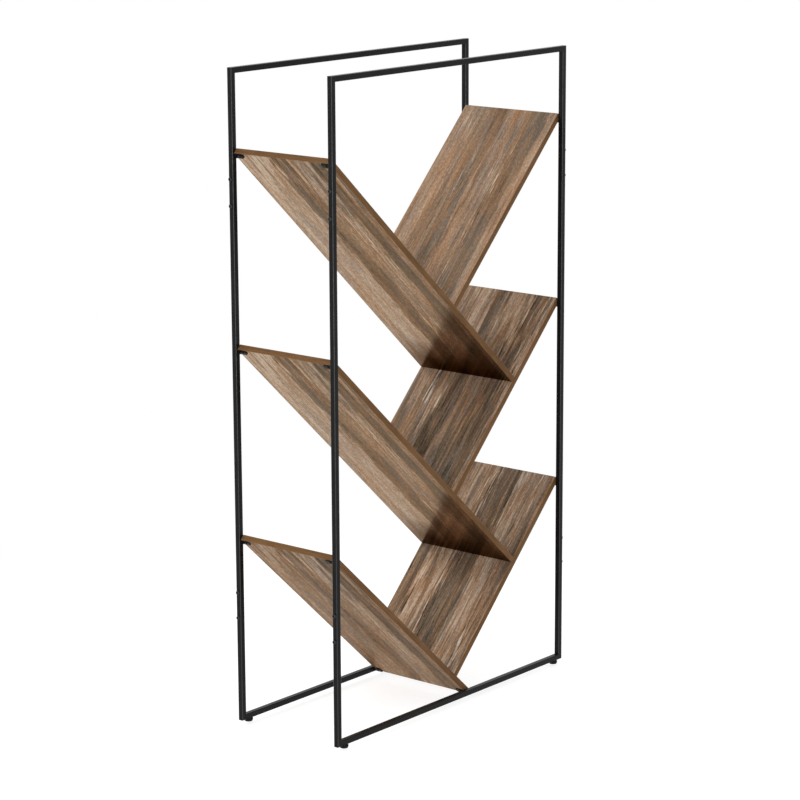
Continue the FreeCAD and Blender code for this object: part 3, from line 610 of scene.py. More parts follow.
def plank_laminate(board):
    settings = bpy.context.scene.shelf_boards
    material, wiring, inputs, place = new_material("plank_laminate_" + board.name, **{
        "Specular IOR Level": 0.04, "Specular Tint": (0.61, 0.54, 0.475, 1.0)})
    local = wiring.add("ShaderNodeMapping", {
        "Vector": place, "Location": board.origin, "Rotation": board.turn}, vector_type="TEXTURE").outputs[0]
    parts = wiring.add("ShaderNodeSeparateXYZ", {"Vector": local}).outputs
    under = wiring.maths("LESS_THAN", parts["Z"], -settings.thickness / 2)
    # Each face takes its own stretch of the print; the left boards share theirs.
    begin = 0.0 if board.left else RIGHT_PRINT_START + RIGHT_PRINT_STEP * LEVELS.index(board.level)
    moved = wiring.vectors("ADD", local, wiring.combine(
        wiring.maths("MULTIPLY_ADD", under, UNDER_PRINT_SHIFT, begin), 0.0,
        wiring.maths("MULTIPLY", under, UNDER_PRINT_DEPTH)))
    across = wiring.maths("MULTIPLY_ADD", parts["Y"], board.toward_back / (2 * board.half), 0.5)
    ragged = wiring.place(shared_group(ragged_planks), vector=moved, across=across)
    top = LEFT_TOP if board.left else RIGHT_TOPS[board.level]
    bottom = LEFT_UNDERS[board.level] if board.left else RIGHT_UNDER
    step = LEFT_PLANK_STEP if board.left else RIGHT_PLANK_STEP
    tones = [wiring.ramp(ragged["Across"], plank_stops(planks, step)) for planks in (top, bottom)]
    edges = [wiring.ramp(ragged["Across"], plank_edge_stops(planks, PLANK_EDGE)) for planks in (top, bottom)]
    tone, edge = wiring.blend(under, *tones), wiring.blend(under, *edges)
    if board.left:
        weather = wiring.stretch(parts["X"], *LEFT_WEATHER_RUN, *LEFT_WEATHER)
    else:
        weather = RIGHT_WEATHER[board.level]
        # The tone changes down the slope; on the middle board the darkening lower down is painted shade,
        # under the left board that lands on it.
        drift = wiring.stretch(parts["X"], *RIGHT_TONE_AND_SHADE_RUN, *RIGHT_TONE_AND_SHADE[board.level])
        tone = wiring.maths("ADD", tone, drift)
    printed = wiring.place(shared_group(plank_print), vector=ragged["Vector"], tone=tone, edge=edge,
                           weather=weather)
    side = wiring.maths("SUBTRACT", board.half, wiring.maths("ABSOLUTE", parts["Y"]))
    # A broken pale line along the board's sides: partly wear, partly a painted highlight of its edges.
    wear_and_highlight = wiring.place(shared_group(edge_wear), vector=moved, distance=side,
                        reach=0.0045, patch=0.03)["Wear"]
    colour = wiring.blend(wiring.maths("MULTIPLY", wear_and_highlight, 0.45), printed["Color"], settings.pale)
    # The gloss takes the print's colour. The tops and the lowest underside are duller than the other
    # undersides.
    tinted, roughness = ((settings.low_tinted, settings.low_roughness) if board.lowest
                         else (settings.tinted, settings.roughness))
    gloss = wiring.stretch(under, 0.0, 1.0, settings.top_tinted, tinted)
    if not board.lowest:
        # Painted shade darkens the inside corner under the board's lower end, and thins out towards its open
        # sides. Its gloss is all in its own dark colour.
        along = wiring.maths("SUBTRACT", board.end(-settings.thickness), parts["X"])
        grime = wiring.place(shared_group(corner_grime), vector=moved, distance=along,
                             reach=settings.grime_reach)["Grime"]
        sheltered = wiring.stretch(side, 0.0, OPEN_SIDE, OPEN_SIDE_PAINTED_SHADE * settings.grime, settings.grime)
        share = wiring.maths("MULTIPLY", wiring.maths("MULTIPLY", grime, under), sheltered)
        colour = wiring.blend(share, colour, wiring.blend(grime, settings.grime_thin, settings.grime_thick))
        gloss = wiring.maths("MULTIPLY_ADD", share, 1.0 - tinted, gloss)
    wiring.feed(inputs["Base Color"], colour)
    wiring.feed(inputs["Metallic"], gloss)
    # The raised grain of the print is a little less dull than its hollows.
    spread = 0.10
    dull = wiring.stretch(under, 0.0, 1.0, settings.top_roughness + spread / 2, roughness + spread / 2)
    wiring.feed(inputs["Roughness"], wiring.maths("MULTIPLY_ADD", printed["Height"], -spread, dull))
    bumped(wiring, inputs, printed["Height"], distance=0.0002, strength=0.16)
    return material


def plank_stops(planks, step):
    """Ramp stops that hold each plank's tone and change it in a short step at its edge."""
    stops = []
    for index, (begin, tone) in enumerate(planks):
        if index:
            stops.append((begin - step, (planks[index - 1][1],) * 3))
        stops.append((begin + (step if index else 0.0), (tone,) * 3))
    return stops


def plank_edge_stops(planks, reach):
    """Ramp stops that rise to one along each line where two planks meet."""
    none, full = (0.0,) * 3, (1.0,) * 3
    stops = [(0.0, none)]
    for begin, _ in planks[1:]:
        rise = max(begin - reach, stops[-1][0])
        stops += [(rise, none), (begin, full), (begin + reach, none)]
    return stops


def edge_band():
    settings = bpy.context.scene.shelf_boards
    material, wiring, inputs, along = new_material("edge_band_brown", "UV", **{"Specular IOR Level": 0.10})
    broad, fine, patch = [streak(wiring, along, label)
                          for label in ("band_broad", "band_fine", "band_patch")]
    grain = wiring.maths("MULTIPLY_ADD", broad, 0.34, wiring.maths("MULTIPLY_ADD", fine, 0.14, 0.48))
    grain = wiring.maths("MULTIPLY_ADD", patch, 0.22, grain, clamp=True)
    colour = wiring.blend(grain, settings.band_dark, settings.band_light)
    height = wiring.add("ShaderNodeSeparateXYZ", {"Vector": along}).outputs["Y"]
    edge = wiring.maths("MINIMUM", height, wiring.maths("SUBTRACT", settings.thickness, height))
    # A broken pale line along the band's edges: partly wear, partly a painted highlight.
    wear_and_highlight = wiring.place(shared_group(edge_wear), vector=along, distance=edge,
                        reach=0.0012, patch=0.02)["Wear"]
    wiring.feed(inputs["Base Color"], wiring.blend(wiring.maths("MULTIPLY", wear_and_highlight, 0.4), colour, settings.tan))
    wiring.feed(inputs["Roughness"], wiring.stretch(grain, 0.0, 1.0, 0.52, 0.42))
    bumped(wiring, inputs, fine, distance=0.0002, strength=0.2)
    return material


def plated_metal(name, colour, roughness, dark=0.62, metallic=1.0):
    """Metal with a slow mottle in its colour and a finely pebbled skin."""
    material, wiring, inputs, place = new_material(name, Metallic=metallic)
    skin = wiring.place(shared_group(fine_pebble), vector=place, size=0.0006, patch=0.004)
    shade = tuple(part * dark for part in colour)
    wiring.feed(inputs["Base Color"], wiring.blend(skin["Mottle"], shade, colour))
    dull = wiring.stretch(skin["Height"], 0.3, 0.7, roughness - 0.07, roughness + 0.09)
    wiring.feed(inputs["Roughness"], dull)
    bumped(wiring, inputs, skin["Height"], distance=0.00005, strength=0.25)
    return material


def moulded_plastic():
    settings = bpy.context.scene.shelf_feet
    material, wiring, inputs, place = new_material("foot_plastic_black", **{"Specular IOR Level": 0.16})
    skin = wiring.place(shared_group(fine_pebble), vector=place, size=0.0005, patch=0.006)
    light = tuple(part * 1.7 for part in settings.plastic)
    wiring.feed(inputs["Base Color"], wiring.blend(skin["Mottle"], settings.plastic, light))
    wiring.feed(inputs["Roughness"], wiring.stretch(skin["Height"], 0.3, 0.7, 0.42, 0.58))
    bumped(wiring, inputs, skin["Height"], distance=0.00008, strength=0.3)
    return material


def dowel_wood():
    settings = bpy.context.scene.shelf_fittings
    material, wiring, inputs, place = new_material("dowel_wood_pale")
    # The dowels are hidden in the boards, so one grain along X serves for both slopes.
    grain = streak(wiring, place, "dowel_grain")
    dark = tuple(part * 0.6 for part in settings.wood)
    wiring.feed(inputs["Base Color"], wiring.blend(wiring.stretch(grain, -1.0, 1.0), dark, settings.wood))
    wiring.feed(inputs["Roughness"], wiring.stretch(grain, -1.0, 1.0, 0.72, 0.58))
    bumped(wiring, inputs, grain, distance=0.0002, strength=0.25)
    return material


# Meshes
def new_piece(name, mesh, material):
    mesh.materials.clear()
    mesh.materials.append(material)
    piece = bpy.data.objects.new(name, mesh)
    bpy.context.scene.collection.objects.link(piece)
    return piece


def settle(piece, body, slot, *nodes):
    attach(piece, body)
    if nodes:
        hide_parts(*nodes)


def from_bmesh(work, name, material, sharp):
    bmesh.ops.remove_doubles(work, verts=work.verts, dist=1e-7)
    bmesh.ops.recalc_face_normals(work, faces=work.faces)
    mesh = bpy.data.meshes.new(name)
    work.to_mesh(mesh)
    work.free()
    mesh.shade_smooth()
    mesh.set_sharp_from_angle(angle=math.radians(sharp))
    return new_piece(name, mesh, material)


def finish_node(name, material):
    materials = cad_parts[name].data.materials
    materials.clear()
    materials.append(material)


def lathe(work, rings, centre, segments):
    """Closed turned shape from (radius, height) pairs that begin and end on the axis."""
    rows = []
    for radius, height in rings:
        count = 1 if radius == 0 else segments
        rows.append([work.verts.new(centre + Vector((
            radius * math.cos(2 * math.pi * step / segments),
            radius * math.sin(2 * math.pi * step / segments), height))) for step in range(count)])
    for low, high in zip(rows, rows[1:]):
        for step in range(segments):
            after = (step + 1) % segments
            turns = ((low, step), (low, after), (high, after), (high, step))
            corners = [row[place % len(row)] for row, place in turns]
            unique = list(dict.fromkeys(corners))
            if len(unique) > 2:
                work.faces.new(unique)


def band_mesh(work, board, settings):
    """The edge band: a thin strip with eased edges up one side, round the upper end and down the other."""
    thick, ease, deep = settings.band_thickness, settings.band_ease, settings.thickness
    profile = [(thick, 0.0)]
    for turn in range(4):
        angle = math.pi / 2 * turn / 3
        profile.append((ease - ease * math.sin(angle), ease * math.cos(angle) - ease))
    profile += [(inset, -deep - out) for inset, out in reversed(profile[1:])] + [(thick, -deep)]
    stations = []
    for inset, out in profile:
        side, end = board.half - inset, board.end(out)
        stations.append([(end, -side, out), (inset, -side, out), (inset, side, out), (end, side, out)])
    rows = [[work.verts.new(board.at(*point)) for point in row] for row in stations]
    walked = [0.0, board.length, board.length + 2 * board.half, 2 * board.length + 2 * board.half]
    uv = work.loops.layers.uv.verify()
    count = len(rows)
    for index in range(count):
        after = (index + 1) % count
        for step in range(3):
            corners = ((index, step), (index, step + 1), (after, step + 1), (after, step))
            face = work.faces.new([rows[row][column] for row, column in corners])
            for loop, (row, column) in zip(face.loops, corners):
                inset, out = profile[row]
                loop[uv].uv = (walked[column] + BAND_PRINT_STEP * len(board.name), deep + out + inset)
    for column in (0, 3):
        face = work.faces.new([row[column] for row in rows])
        for loop, (inset, out) in zip(face.loops, profile):
            loop[uv].uv = (inset, deep + out)


def thread_mesh(work, centre, low, high, radius, settings):
    """A stem with a real helical thread, a plain end in its pad and a chamfered top."""
    pitch, depth = settings.thread_pitch, settings.thread_depth
    around, rise = 28, pitch / 8
    plain = PAD_BOX[1].z
    thread_stop, chamfer = high - radius * 0.25, high - radius * 0.22
    tip = radius - depth - radius * 0.15
    heights = [low, plain]
    while heights[-1] + rise < thread_stop:
        heights.append(heights[-1] + rise)
    heights += [chamfer, high]
    rows = []
    for height in heights:
        row = []
        for step in range(around):
            angle = 2 * math.pi * step / around
            phase = (height / pitch - step / around) % 1.0
            cut = depth * (1 - abs(2 * phase - 1))
            size = radius if height <= plain else radius - cut
            if height == high:
                size = tip
            spoke = Vector((size * math.cos(angle), size * math.sin(angle), height))
            row.append(work.verts.new(centre + spoke))
        rows.append(row)
    for below, above in zip(rows, rows[1:]):
        for step in range(around):
            after = (step + 1) % around
            work.faces.new((below[step], below[after], above[after], above[step]))
    work.faces.new(rows[0])
    work.faces.new(rows[-1])


# Geometry Nodes trees
def realise(wiring, start, finish, instances):
    """Ends a tree: the instances become real faces with the tree's material."""
    real = wiring.add("GeometryNodeRealizeInstances", {"Geometry": instances}).outputs[0]
    wiring.feed(finish["Geometry"], wiring.add("GeometryNodeSetMaterial", {
        "Geometry": real, "Material": start["Material"]}).outputs[0])


def screw_heads(name):
    """Domed heads with a driver recess and a shank, one on each point, turned along its facing."""
    tree, wiring, start, finish = new_group(name, "GeometryNodeTree", [
        ("Geometry", "NodeSocketGeometry", None),
        ("Head Radius", "NodeSocketFloat", 0.003),
        ("Head Height", "NodeSocketFloat", 0.002),
        ("Crown", "NodeSocketFloat", 1.0),
        ("Recess Radius", "NodeSocketFloat", 0.0015),
        ("Recess Depth", "NodeSocketFloat", 0.001),
        ("Cross Recess", "NodeSocketBool", False),
        ("Shank Radius", "NodeSocketFloat", 0.002),
        ("Shank Length", "NodeSocketFloat", 0.006),
        ("Seed", "NodeSocketInt", 0),
        ("Material", "NodeSocketMaterial", None),
    ], [("Geometry", "NodeSocketGeometry")])
    height = start["Head Height"]
    dome = wiring.maths("MULTIPLY", wiring.maths("MULTIPLY", height, 0.6), start["Crown"])
    rim = wiring.maths("SUBTRACT", height, dome)
    head = wiring.cylinder(32, start["Head Radius"], rim)
    mesh = wiring.lifted(head["Mesh"], wiring.maths("DIVIDE", rim, 2.0))
    top = head["Top"]
    # The dome rises in steps along an ellipse, each one narrower than the last.
    for rise, narrow in DOME_STEPS:
        raised = wiring.add("GeometryNodeExtrudeMesh", {
            "Mesh": mesh, "Selection": top, "Offset Scale": wiring.maths("MULTIPLY", dome, rise),
            "Individual": False}, mode="FACES")
        top = raised.outputs["Top"]
        shrink = wiring.maths("SUBTRACT", 1.0, wiring.maths("MULTIPLY", start["Crown"], 1.0 - narrow))
        mesh = wiring.add("GeometryNodeScaleElements", {
            "Geometry": raised.outputs["Mesh"], "Selection": top, "Scale": shrink}, domain="FACE").outputs[0]
    twice = wiring.maths("MULTIPLY", start["Recess Depth"], 2.0)
    hexagon = wiring.cylinder(6, start["Recess Radius"], twice)["Mesh"]
    wide = wiring.maths("MULTIPLY", start["Recess Radius"], 2.0)
    slim = wiring.maths("MULTIPLY", start["Recess Radius"], 0.42)
    arms = wiring.add("GeometryNodeMeshBoolean", operation="UNION")
    for size in (wiring.combine(wide, slim, twice), wiring.combine(slim, wide, twice)):
        arm = wiring.add("GeometryNodeMeshCube", {"Size": size}).outputs["Mesh"]
        wiring.feed(arms.inputs["Mesh 2"], arm)
    cutter = wiring.add("GeometryNodeSwitch", {
        "Switch": start["Cross Recess"], "False": hexagon, "True": arms.outputs["Mesh"],
    }, input_type="GEOMETRY").outputs[0]
    cut = wiring.add("GeometryNodeMeshBoolean", {
        "Mesh 1": mesh, "Mesh 2": wiring.lifted(cutter, height)}, operation="DIFFERENCE").outputs["Mesh"]
    bury = wiring.maths("MULTIPLY", height, 0.25)
    shank = wiring.cylinder(20, start["Shank Radius"], wiring.maths("ADD", start["Shank Length"], bury))
    drop = wiring.maths("DIVIDE", wiring.maths("SUBTRACT", bury, start["Shank Length"]), 2.0)
    screw = wiring.add("GeometryNodeJoinGeometry")
    for part in (cut, wiring.lifted(shank["Mesh"], drop)):
        wiring.feed(screw.inputs["Geometry"], part)
    facing = wiring.add("GeometryNodeInputNamedAttribute", {"Name": "facing"},
                        data_type="FLOAT_VECTOR").outputs["Attribute"]
    turned = wiring.add("FunctionNodeAlignRotationToVector", {"Vector": facing}, axis="Z").outputs[0]
    spin = wiring.chance(0.0, math.pi, start["Seed"])
    spun = wiring.add("FunctionNodeRotateRotation", {
        "Rotation": turned, "Rotate By": wiring.combine(0.0, 0.0, spin)}, rotation_space="LOCAL").outputs[0]
    realise(wiring, start, finish, wiring.add("GeometryNodeInstanceOnPoints", {
        "Points": start["Geometry"], "Instance": screw.outputs[0], "Rotation": spun}).outputs[0])
    return tree


def weld_beads(name):
    """Overlapping ripples of weld along each edge of the given lines."""
    tree, wiring, start, finish = new_group(name, "GeometryNodeTree", [
        ("Geometry", "NodeSocketGeometry", None),
        ("Radius", "NodeSocketFloat", 0.0013),
        ("Spacing", "NodeSocketFloat", 0.001),
        ("Seed", "NodeSocketInt", 3),
        ("Material", "NodeSocketMaterial", None),
    ], [("Geometry", "NodeSocketGeometry")])
    curve = wiring.add("GeometryNodeMeshToCurve", {"Mesh": start["Geometry"]}).outputs[0]
    points = wiring.add("GeometryNodeResampleCurve", {
        "Curve": curve, "Length": start["Spacing"]}, mode="LENGTH").outputs[0]
    ripple = wiring.add("GeometryNodeMeshIcoSphere", {
        "Radius": start["Radius"], "Subdivisions": 3}).outputs["Mesh"]
    size = wiring.chance(*RIPPLE_SIZES, start["Seed"])
    realise(wiring, start, finish, wiring.add("GeometryNodeInstanceOnPoints", {
        "Points": points, "Instance": ripple, "Scale": wiring.combine(size, size, size)}).outputs[0])
    return tree


def grown(name, tree, seed_mesh, values, sharp=35.0):
    """Runs a tree on a mesh of points or lines and returns the result as a plain piece."""
    source = bpy.data.objects.new(name + "_source", seed_mesh)
    bpy.context.scene.collection.objects.link(source)
    modifier = source.modifiers.new(tree.name, "NODES")
    modifier.node_group = tree
    sockets = {item.name: item.identifier for item in tree.interface.items_tree if item.in_out == "INPUT"}
    for label, value in values.items():
        modifier[sockets[label]] = value
    bpy.context.view_layer.update()
    graph = bpy.context.evaluated_depsgraph_get()
    mesh = bpy.data.meshes.new_from_object(source.evaluated_get(graph))
    bpy.data.objects.remove(source)
    bpy.data.meshes.remove(seed_mesh)
    if not mesh.polygons:
        raise RuntimeError("%s: the node tree made no faces" % name)
    mesh.name = name
    mesh.shade_smooth()
    mesh.set_sharp_from_angle(angle=math.radians(sharp))
    return new_piece(name, mesh, values["Material"])


def facing_points(name, places):
    mesh = bpy.data.meshes.new(name + "_points")
    mesh.from_pydata([point for point, _ in places], [], [])
    facing = mesh.attributes.new("facing", "FLOAT_VECTOR", "POINT")
    for entry, (_, direction) in zip(facing.data, places):
        entry.vector = direction
    return mesh


def post_screw_places():
    """Above and below each seam, on the outer face of a post."""
    return [((hand * OUTER_X, side * POST_Y, seam + offset), (hand, 0, 0))
            for hand in HANDS.values() for side in SIDES.values()
            for seam in SEAMS for offset in (-SCREW_TO_SEAM, SCREW_TO_SEAM)]


def tab_screw_places(boards, thickness):
    """The middle of each tab's underside."""
    places = []
    for board in boards:
        ends = (TAB_LENGTH / 2, board.length - TAB_LENGTH / 2) if board.lowest else (TAB_LENGTH / 2,)
        for down in ends:
            for side in (-1, 1):
                spot = board.at(down, side * (INNER_Y - TAB_REACH / 2), -thickness - TAB_THICKNESS)
                places.append((spot, board.along(0, 0, -1)))
    return places


def connecting_screw_places(boards, laminate, settings):
    """On the far face of the board that an upper or middle left board lands on, in line with its end."""
    through = laminate.thickness / math.sin(laminate.left_slope + laminate.right_slope)
    sunk = settings.link_head_sink + settings.link_head_height
    core = -laminate.thickness / 2
    places = []
    for board in boards:
        if board.left and not board.lowest:
            for side in (-1, 1):
                spot = board.at(board.end(core) + through - sunk, side * settings.link_spread, core)
                places.append((spot, board.along(1, 0, 0)))
    return places


# Operators
class SHELF_OT_coat_frame(bpy.types.Operator):
    """Powder coats the tubes and the tabs, and lays the weld beads under the tabs"""
    bl_idname = "shelf.coat_frame"
    bl_label = "Coat frame"

    def execute(self, context):
        settings = context.scene.shelf_frame
        coats = {
            "post": powder_coat("powder_coat_post", shine=0.11, corners=True),
            "rail": powder_coat("powder_coat_rail", shine=0.11),
            "tab": powder_coat("powder_coat_tab", shine=0.03),
        }
        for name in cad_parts:
            coat = coats.get(name.rpartition("_")[2])
            if coat is not None:
                finish_node(name, coat)
        tab_under = -context.scene.shelf_boards.thickness - TAB_THICKNESS
        ends = []
        for board in shelf_boards(context.scene.shelf_boards):
            runs = [(BEAD_INSET, min(TAB_LENGTH, -tab_under * math.tan(board.slope)) - BEAD_INSET)]
            if board.lowest:
                runs.append((board.length - TAB_LENGTH + BEAD_INSET, board.length - BEAD_INSET))
            for run in runs:
                for side in (-1, 1):
                    ends += [board.at(down, side * INNER_Y, tab_under) for down in run]
        mesh = bpy.data.meshes.new("bead_lines")
        mesh.from_pydata(ends, [(first, first + 1) for first in range(0, len(ends), 2)], [])
        beads = grown("tab_weld_beads", shared_group(weld_beads), mesh, {
            "Radius": settings.bead_radius, "Spacing": settings.bead_spacing, "Seed": 3,
            "Material": coats["tab"]}, sharp=60.0)
        settle(beads, "shelf", "powder_coat")
        return {"FINISHED"}


class SHELF_OT_print_boards(bpy.types.Operator):
    """Gives the six boards their plank laminate and their edge bands"""
    bl_idname = "shelf.print_boards"
    bl_label = "Print boards"

    def execute(self, context):
        settings = context.scene.shelf_boards
        band = edge_band()
        for board in shelf_boards(settings):
            finish_node(board.name, plank_laminate(board))
            work = bmesh.new()
            band_mesh(work, board, settings)
            piece = from_bmesh(work, board.name + "_band", band, sharp=50.0)
            settle(piece, "shelf", "edge_band", board.name + "_edging")
        return {"FINISHED"}


class SHELF_OT_fit_screws(bpy.types.Operator):
    """Sets the post screws, the tab screws and the connecting screws"""
    bl_idname = "shelf.fit_screws"
    bl_label = "Fit screws"

    def execute(self, context):
        settings = context.scene.shelf_fittings
        laminate = context.scene.shelf_boards
        boards = shelf_boards(laminate)
        heads = shared_group(screw_heads)
        black = plated_metal("black_screw_steel", settings.black, roughness=0.36, dark=0.6, metallic=0.35)
        zinc = plated_metal("connecting_screw_zinc", settings.zinc, roughness=0.32)

        places = post_screw_places()
        screws = grown("post_screw_set", heads, facing_points("post_screws", places), {
            "Head Radius": settings.post_head_radius, "Head Height": settings.post_head_height, "Crown": 1.0,
            "Recess Radius": 0.0023, "Recess Depth": 0.0022, "Cross Recess": False, "Shank Radius": 0.0020,
            "Shank Length": 0.006, "Seed": settings.seed, "Material": black})
        settle(screws, "shelf", "black_screw", "post_screws")

        places = tab_screw_places(boards, laminate.thickness)
        screws = grown("tab_screw_set", heads, facing_points("tab_screws", places), {
            "Head Radius": settings.tab_head_radius, "Head Height": settings.tab_head_height, "Crown": 1.0,
            "Recess Radius": 0.0019, "Recess Depth": 0.0013, "Cross Recess": True, "Shank Radius": 0.0018,
            "Shank Length": 0.0105, "Seed": settings.seed + 1, "Material": black})
        settle(screws, "shelf", "black_screw", "tab_screws")

        places = connecting_screw_places(boards, laminate, settings)
        screws = grown("connecting_screw_set", heads, facing_points("connecting_screws", places), {
            "Head Radius": settings.link_head_radius, "Head Height": settings.link_head_height, "Crown": 0.12,
            "Recess Radius": 0.0024, "Recess Depth": 0.0007, "Cross Recess": True, "Shank Radius": 0.0023,
            "Shank Length": 0.044, "Seed": settings.seed + 2, "Material": zinc})
        settle(screws, "shelf", "zinc_fitting", "connecting_screws")
        return {"FINISHED"}


class SHELF_OT_finish_fittings(bpy.types.Operator):
    """Finishes the sleeves, cam fittings, dowels and foot inserts"""
    bl_idname = "shelf.finish_fittings"
    bl_label = "Finish fittings"

    def execute(self, context):
        settings = context.scene.shelf_fittings
        finish_node("post_sleeves", plated_metal("sleeve_steel_plain", settings.steel, roughness=0.45))
        zinc = plated_metal("cam_zinc", settings.zinc, roughness=0.34)
        finish_node("cam_locks", zinc)
        finish_node("cam_bolts", zinc)
        finish_node("foot_inserts", plated_metal("insert_steel", settings.steel, roughness=0.38))
        finish_node("dowels", dowel_wood())
        return {"FINISHED"}


class SHELF_OT_make_feet(bpy.types.Operator):
    """Makes the four levelling feet, each a moulded pad on a threaded stem"""
    bl_idname = "shelf.make_feet"
    bl_label = "Make feet"

    def execute(self, context):
        settings = context.scene.shelf_feet
        plastic = moulded_plastic()
        steel = plated_metal("stem_steel_plated", settings.stem, roughness=0.34)
        for side in SIDES:
            for hand in HANDS:
                foot = "%s_%s_foot" % (side, hand)
                low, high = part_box(foot + "_pad")
                middle = Vector(((low.x + high.x) / 2, (low.y + high.y) / 2, 0.0))
                stem_low, stem_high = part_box(foot + "_stem")
                bore = (stem_high.x - stem_low.x) / 2
                work = bmesh.new()
                lathe(work, pad_rings(settings, high.z, bore, stem_low.z), middle, segments=48)
                pad = from_bmesh(work, foot + "_moulding", plastic, sharp=40.0)
                settle(pad, foot, "foot_plastic", foot + "_pad")
                work = bmesh.new()
                thread_mesh(work, middle, stem_low.z, stem_high.z, bore, settings)
                stem = from_bmesh(work, foot + "_thread", steel, sharp=50.0)
                settle(stem, foot, "stem_steel", foot + "_stem")
        return {"FINISHED"}


def pad_rings(settings, top, bore, socket):
    """A tapered pad with a rounded lower edge, a straight rim with eased edges and a socket for its stem."""
    wide, narrow, rim = settings.top_radius, settings.floor_radius, settings.rim
    lean = math.atan2(wide - narrow, top - rim)
    bend = settings.rounding
    reach = bend * math.tan((math.pi / 2 - lean) / 2)
    flat, ease, lip = narrow * 0.45, rim * 0.45, 0.0004
    rings = [(0.0, 0.0), (flat, 0.0)]
    for turn in range(7):
        angle = -math.pi / 2 + (math.pi / 2 - lean) * turn / 6
        rings.append((narrow - reach + bend * math.cos(angle), bend + bend * math.sin(angle)))
    rings.append((wide, top - rim))
    for turn in range(4):
        angle = math.pi / 2 * turn / 3
        rings.append((wide - ease + ease * math.cos(angle), top - ease + ease * math.sin(angle)))
    return rings + [(bore + lip, top), (bore, top - lip), (bore, socket), (0.0, socket)]


class SHELF_OT_set_stage(bpy.types.Operator):
    """Lays the pale floor, lights the white studio and places the camera"""
    bl_idname = "shelf.set_stage"
    bl_label = "Set stage"

    def execute(self, context):
        settings = context.scene.shelf_stage
        scene = context.scene
        scene.view_settings.view_transform = "Standard"
        work = bmesh.new()
        # The shelf stays where it is as a foot screws out, so the floor leaves room below the feet.
        bmesh.ops.create_grid(work, x_segments=1, y_segments=1, size=FLOOR_HALF,
                              matrix=Matrix.Translation((0.0, 0.0, -settings.foot_room)))
        mesh = bpy.data.meshes.new("studio_floor")
        work.to_mesh(mesh)
        work.free()
        new_piece("studio_floor", mesh, floor_finish(settings))
        scene.world = white_studio(settings)
        lamp("key_light", (-2.8, 0.9, 3.2), width=2.6, power=settings.key_power)
        lamp("low_light", (-3.6, 0.6, 1.05), width=1.2, power=settings.low_power)
        lamp("front_light", (-3.4, -2.9, 0.3), width=1.0, power=settings.front_power)
        scene.camera = photo_camera(settings)
        return {"FINISHED"}


def seen_rays(wiring):
    """One for the rays that show the background: straight from the camera, or by gloss or glass."""
    path = wiring.add("ShaderNodeLightPath").outputs
    bent = wiring.maths("MAXIMUM", path["Is Glossy Ray"], path["Is Transmission Ray"])
    return wiring.maths("MAXIMUM", path["Is Camera Ray"], bent)


def floor_finish(settings):
    material = bpy.data.materials.new("pale_floor")
    material.use_nodes = True
    material.node_tree.nodes.clear()
    wiring = Wiring(material.node_tree)
    plain = wiring.add("ShaderNodeBsdfDiffuse", {"Color": (*settings.floor, 1.0)}).outputs[0]
    shaded = wiring.add("ShaderNodeBsdfDiffuse", {"Color": FLOOR_SEEN}).outputs[0]
    glow = wiring.add("ShaderNodeEmission", {"Color": WHITE, "Strength": FLOOR_GLOW}).outputs[0]
    near = wiring.add("ShaderNodeAddShader")
    wiring.feed(near.inputs[0], shaded)
    wiring.feed(near.inputs[1], glow)
    # Away from the shelf, and in reflections, the floor runs into the white of the studio.
    white = wiring.add("ShaderNodeEmission", {"Color": WHITE, "Strength": 1.0}).outputs[0]
    place = wiring.add("ShaderNodeTexCoord").outputs["Object"]
    away = wiring.add("ShaderNodeVectorMath", {0: place}, operation="LENGTH").outputs["Value"]
    path = wiring.add("ShaderNodeLightPath").outputs
    fade = wiring.stretch(away, *FLOOR_FADE, kind="SMOOTHSTEP")
    fade = wiring.maths("MAXIMUM", fade, wiring.maths("SUBTRACT", 1.0, path["Is Camera Ray"]))
    seen = wiring.add("ShaderNodeMixShader", {0: fade, 1: near.outputs[0], 2: white})
    mixed = wiring.add("ShaderNodeMixShader", {0: seen_rays(wiring), 1: plain, 2: seen.outputs[0]})
    wiring.add("ShaderNodeOutputMaterial", {"Surface": mixed.outputs[0]})
    return material


def white_studio(settings):
    world = bpy.data.worlds.new("white_studio")
    world.use_nodes = True
    world.node_tree.nodes.clear()
    wiring = Wiring(world.node_tree)
    light = wiring.add("ShaderNodeBackground", {"Color": WHITE, "Strength": settings.surround}).outputs[0]
    white = wiring.add("ShaderNodeBackground", {"Color": WHITE, "Strength": 1.0}).outputs[0]
    mixed = wiring.add("ShaderNodeMixShader", {0: seen_rays(wiring), 1: light, 2: white})
    wiring.add("ShaderNodeOutputWorld", {"Surface": mixed.outputs[0]})
    return world


def lamp(name, place, width, power):
    light = bpy.data.lights.new(name, "AREA")
    light.shape = "DISK"
    light.size = width
    light.energy = power
    piece = bpy.data.objects.new(name, light)
    piece.location = place
    piece.rotation_euler = (LAMP_AIM - Vector(place)).to_track_quat("-Z", "Y").to_euler()
    bpy.context.scene.collection.objects.link(piece)


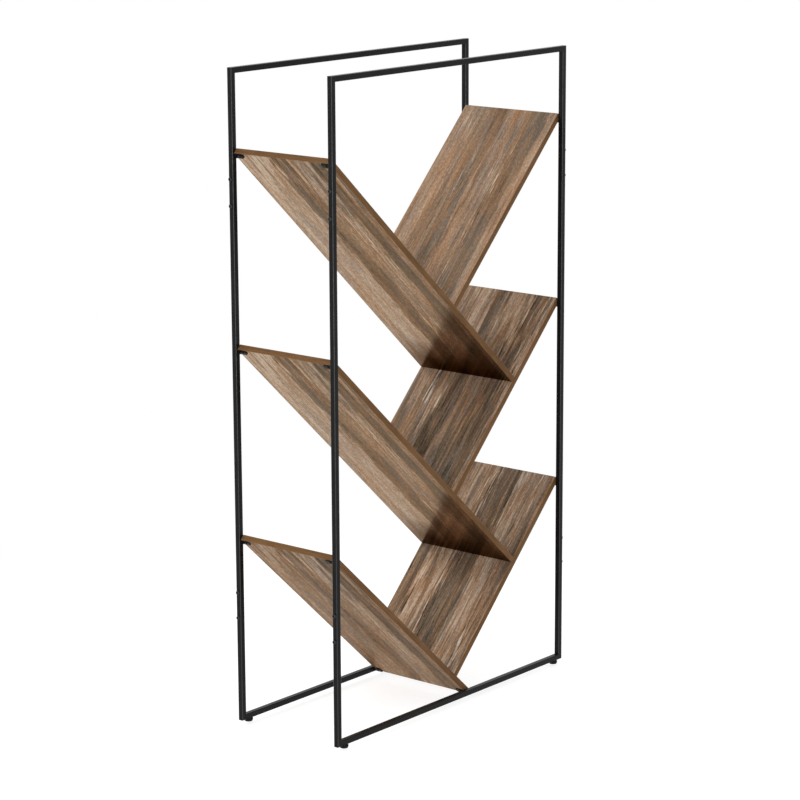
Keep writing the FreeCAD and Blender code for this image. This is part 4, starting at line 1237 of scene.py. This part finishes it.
def photo_camera(settings):
    """A camera whose square picture shows the middle of the shelf at the aim."""
    yaw, pitch, roll = settings.yaw, settings.pitch, settings.roll
    right = Vector((math.cos(yaw), -math.sin(yaw), 0.0))
    ahead = Vector((math.sin(yaw) * math.cos(pitch), math.cos(yaw) * math.cos(pitch), -math.sin(pitch)))
    down = ahead.cross(right)
    right, down = (right * math.cos(roll) + down * math.sin(roll),
                   down * math.cos(roll) - right * math.sin(roll))
    middle = Vector((0.0, 0.0, CAD_BOX[1].z / 2))
    across = [(place - PICTURE_SIDE / 2) / settings.focal for place in settings.aim]
    centre = middle - (right * across[0] + down * across[1] + ahead) * settings.distance
    data = bpy.data.cameras.new("photo_camera")
    data.sensor_width = 36.0
    data.lens = settings.focal / PICTURE_SIDE * data.sensor_width
    data.clip_end = 60.0
    camera = bpy.data.objects.new("photo_camera", data)
    turn = Matrix((right, -down, -ahead)).transposed().to_4x4()
    camera.matrix_world = Matrix.Translation(centre) @ turn
    bpy.context.scene.collection.objects.link(camera)
    return camera


class SHELF_PT_bookshelf(bpy.types.Panel):
    """Lists the steps that dress the bookshelf"""
    bl_idname = "SHELF_PT_bookshelf"
    bl_label = "Zigzag bookshelf"
    bl_space_type = "VIEW_3D"
    bl_region_type = "UI"
    bl_category = "Bookshelf"

    def draw(self, context):
        for step in STEPS:
            self.layout.operator(step.bl_idname)
        for name in SETTINGS:
            group = getattr(context.scene, name)
            box = self.layout.box()
            for label in group.bl_rna.properties.keys():
                if label not in {"rna_type", "name"}:
                    box.prop(group, label)


SETTINGS = {
    "shelf_frame": ShelfFrameSettings,
    "shelf_boards": ShelfBoardSettings,
    "shelf_fittings": ShelfFittingSettings,
    "shelf_feet": ShelfFootSettings,
    "shelf_stage": ShelfStageSettings,
}
STEPS = (SHELF_OT_coat_frame, SHELF_OT_print_boards, SHELF_OT_fit_screws, SHELF_OT_finish_fittings,
         SHELF_OT_make_feet, SHELF_OT_set_stage)


def register():
    for name, group in SETTINGS.items():
        bpy.utils.register_class(group)
        setattr(bpy.types.Scene, name, PointerProperty(type=group))
    for step in STEPS:
        bpy.utils.register_class(step)
    bpy.utils.register_class(SHELF_PT_bookshelf)


def unregister():
    bpy.utils.unregister_class(SHELF_PT_bookshelf)
    for step in reversed(STEPS):
        bpy.utils.unregister_class(step)
    for name, group in SETTINGS.items():
        delattr(bpy.types.Scene, name)
        bpy.utils.unregister_class(group)


def main():
    register()
    bpy.ops.shelf.coat_frame()
    bpy.ops.shelf.print_boards()
    bpy.ops.shelf.fit_screws()
    bpy.ops.shelf.finish_fittings()
    bpy.ops.shelf.make_feet()
    bpy.ops.shelf.set_stage()


if __name__ == "__main__":
    main()
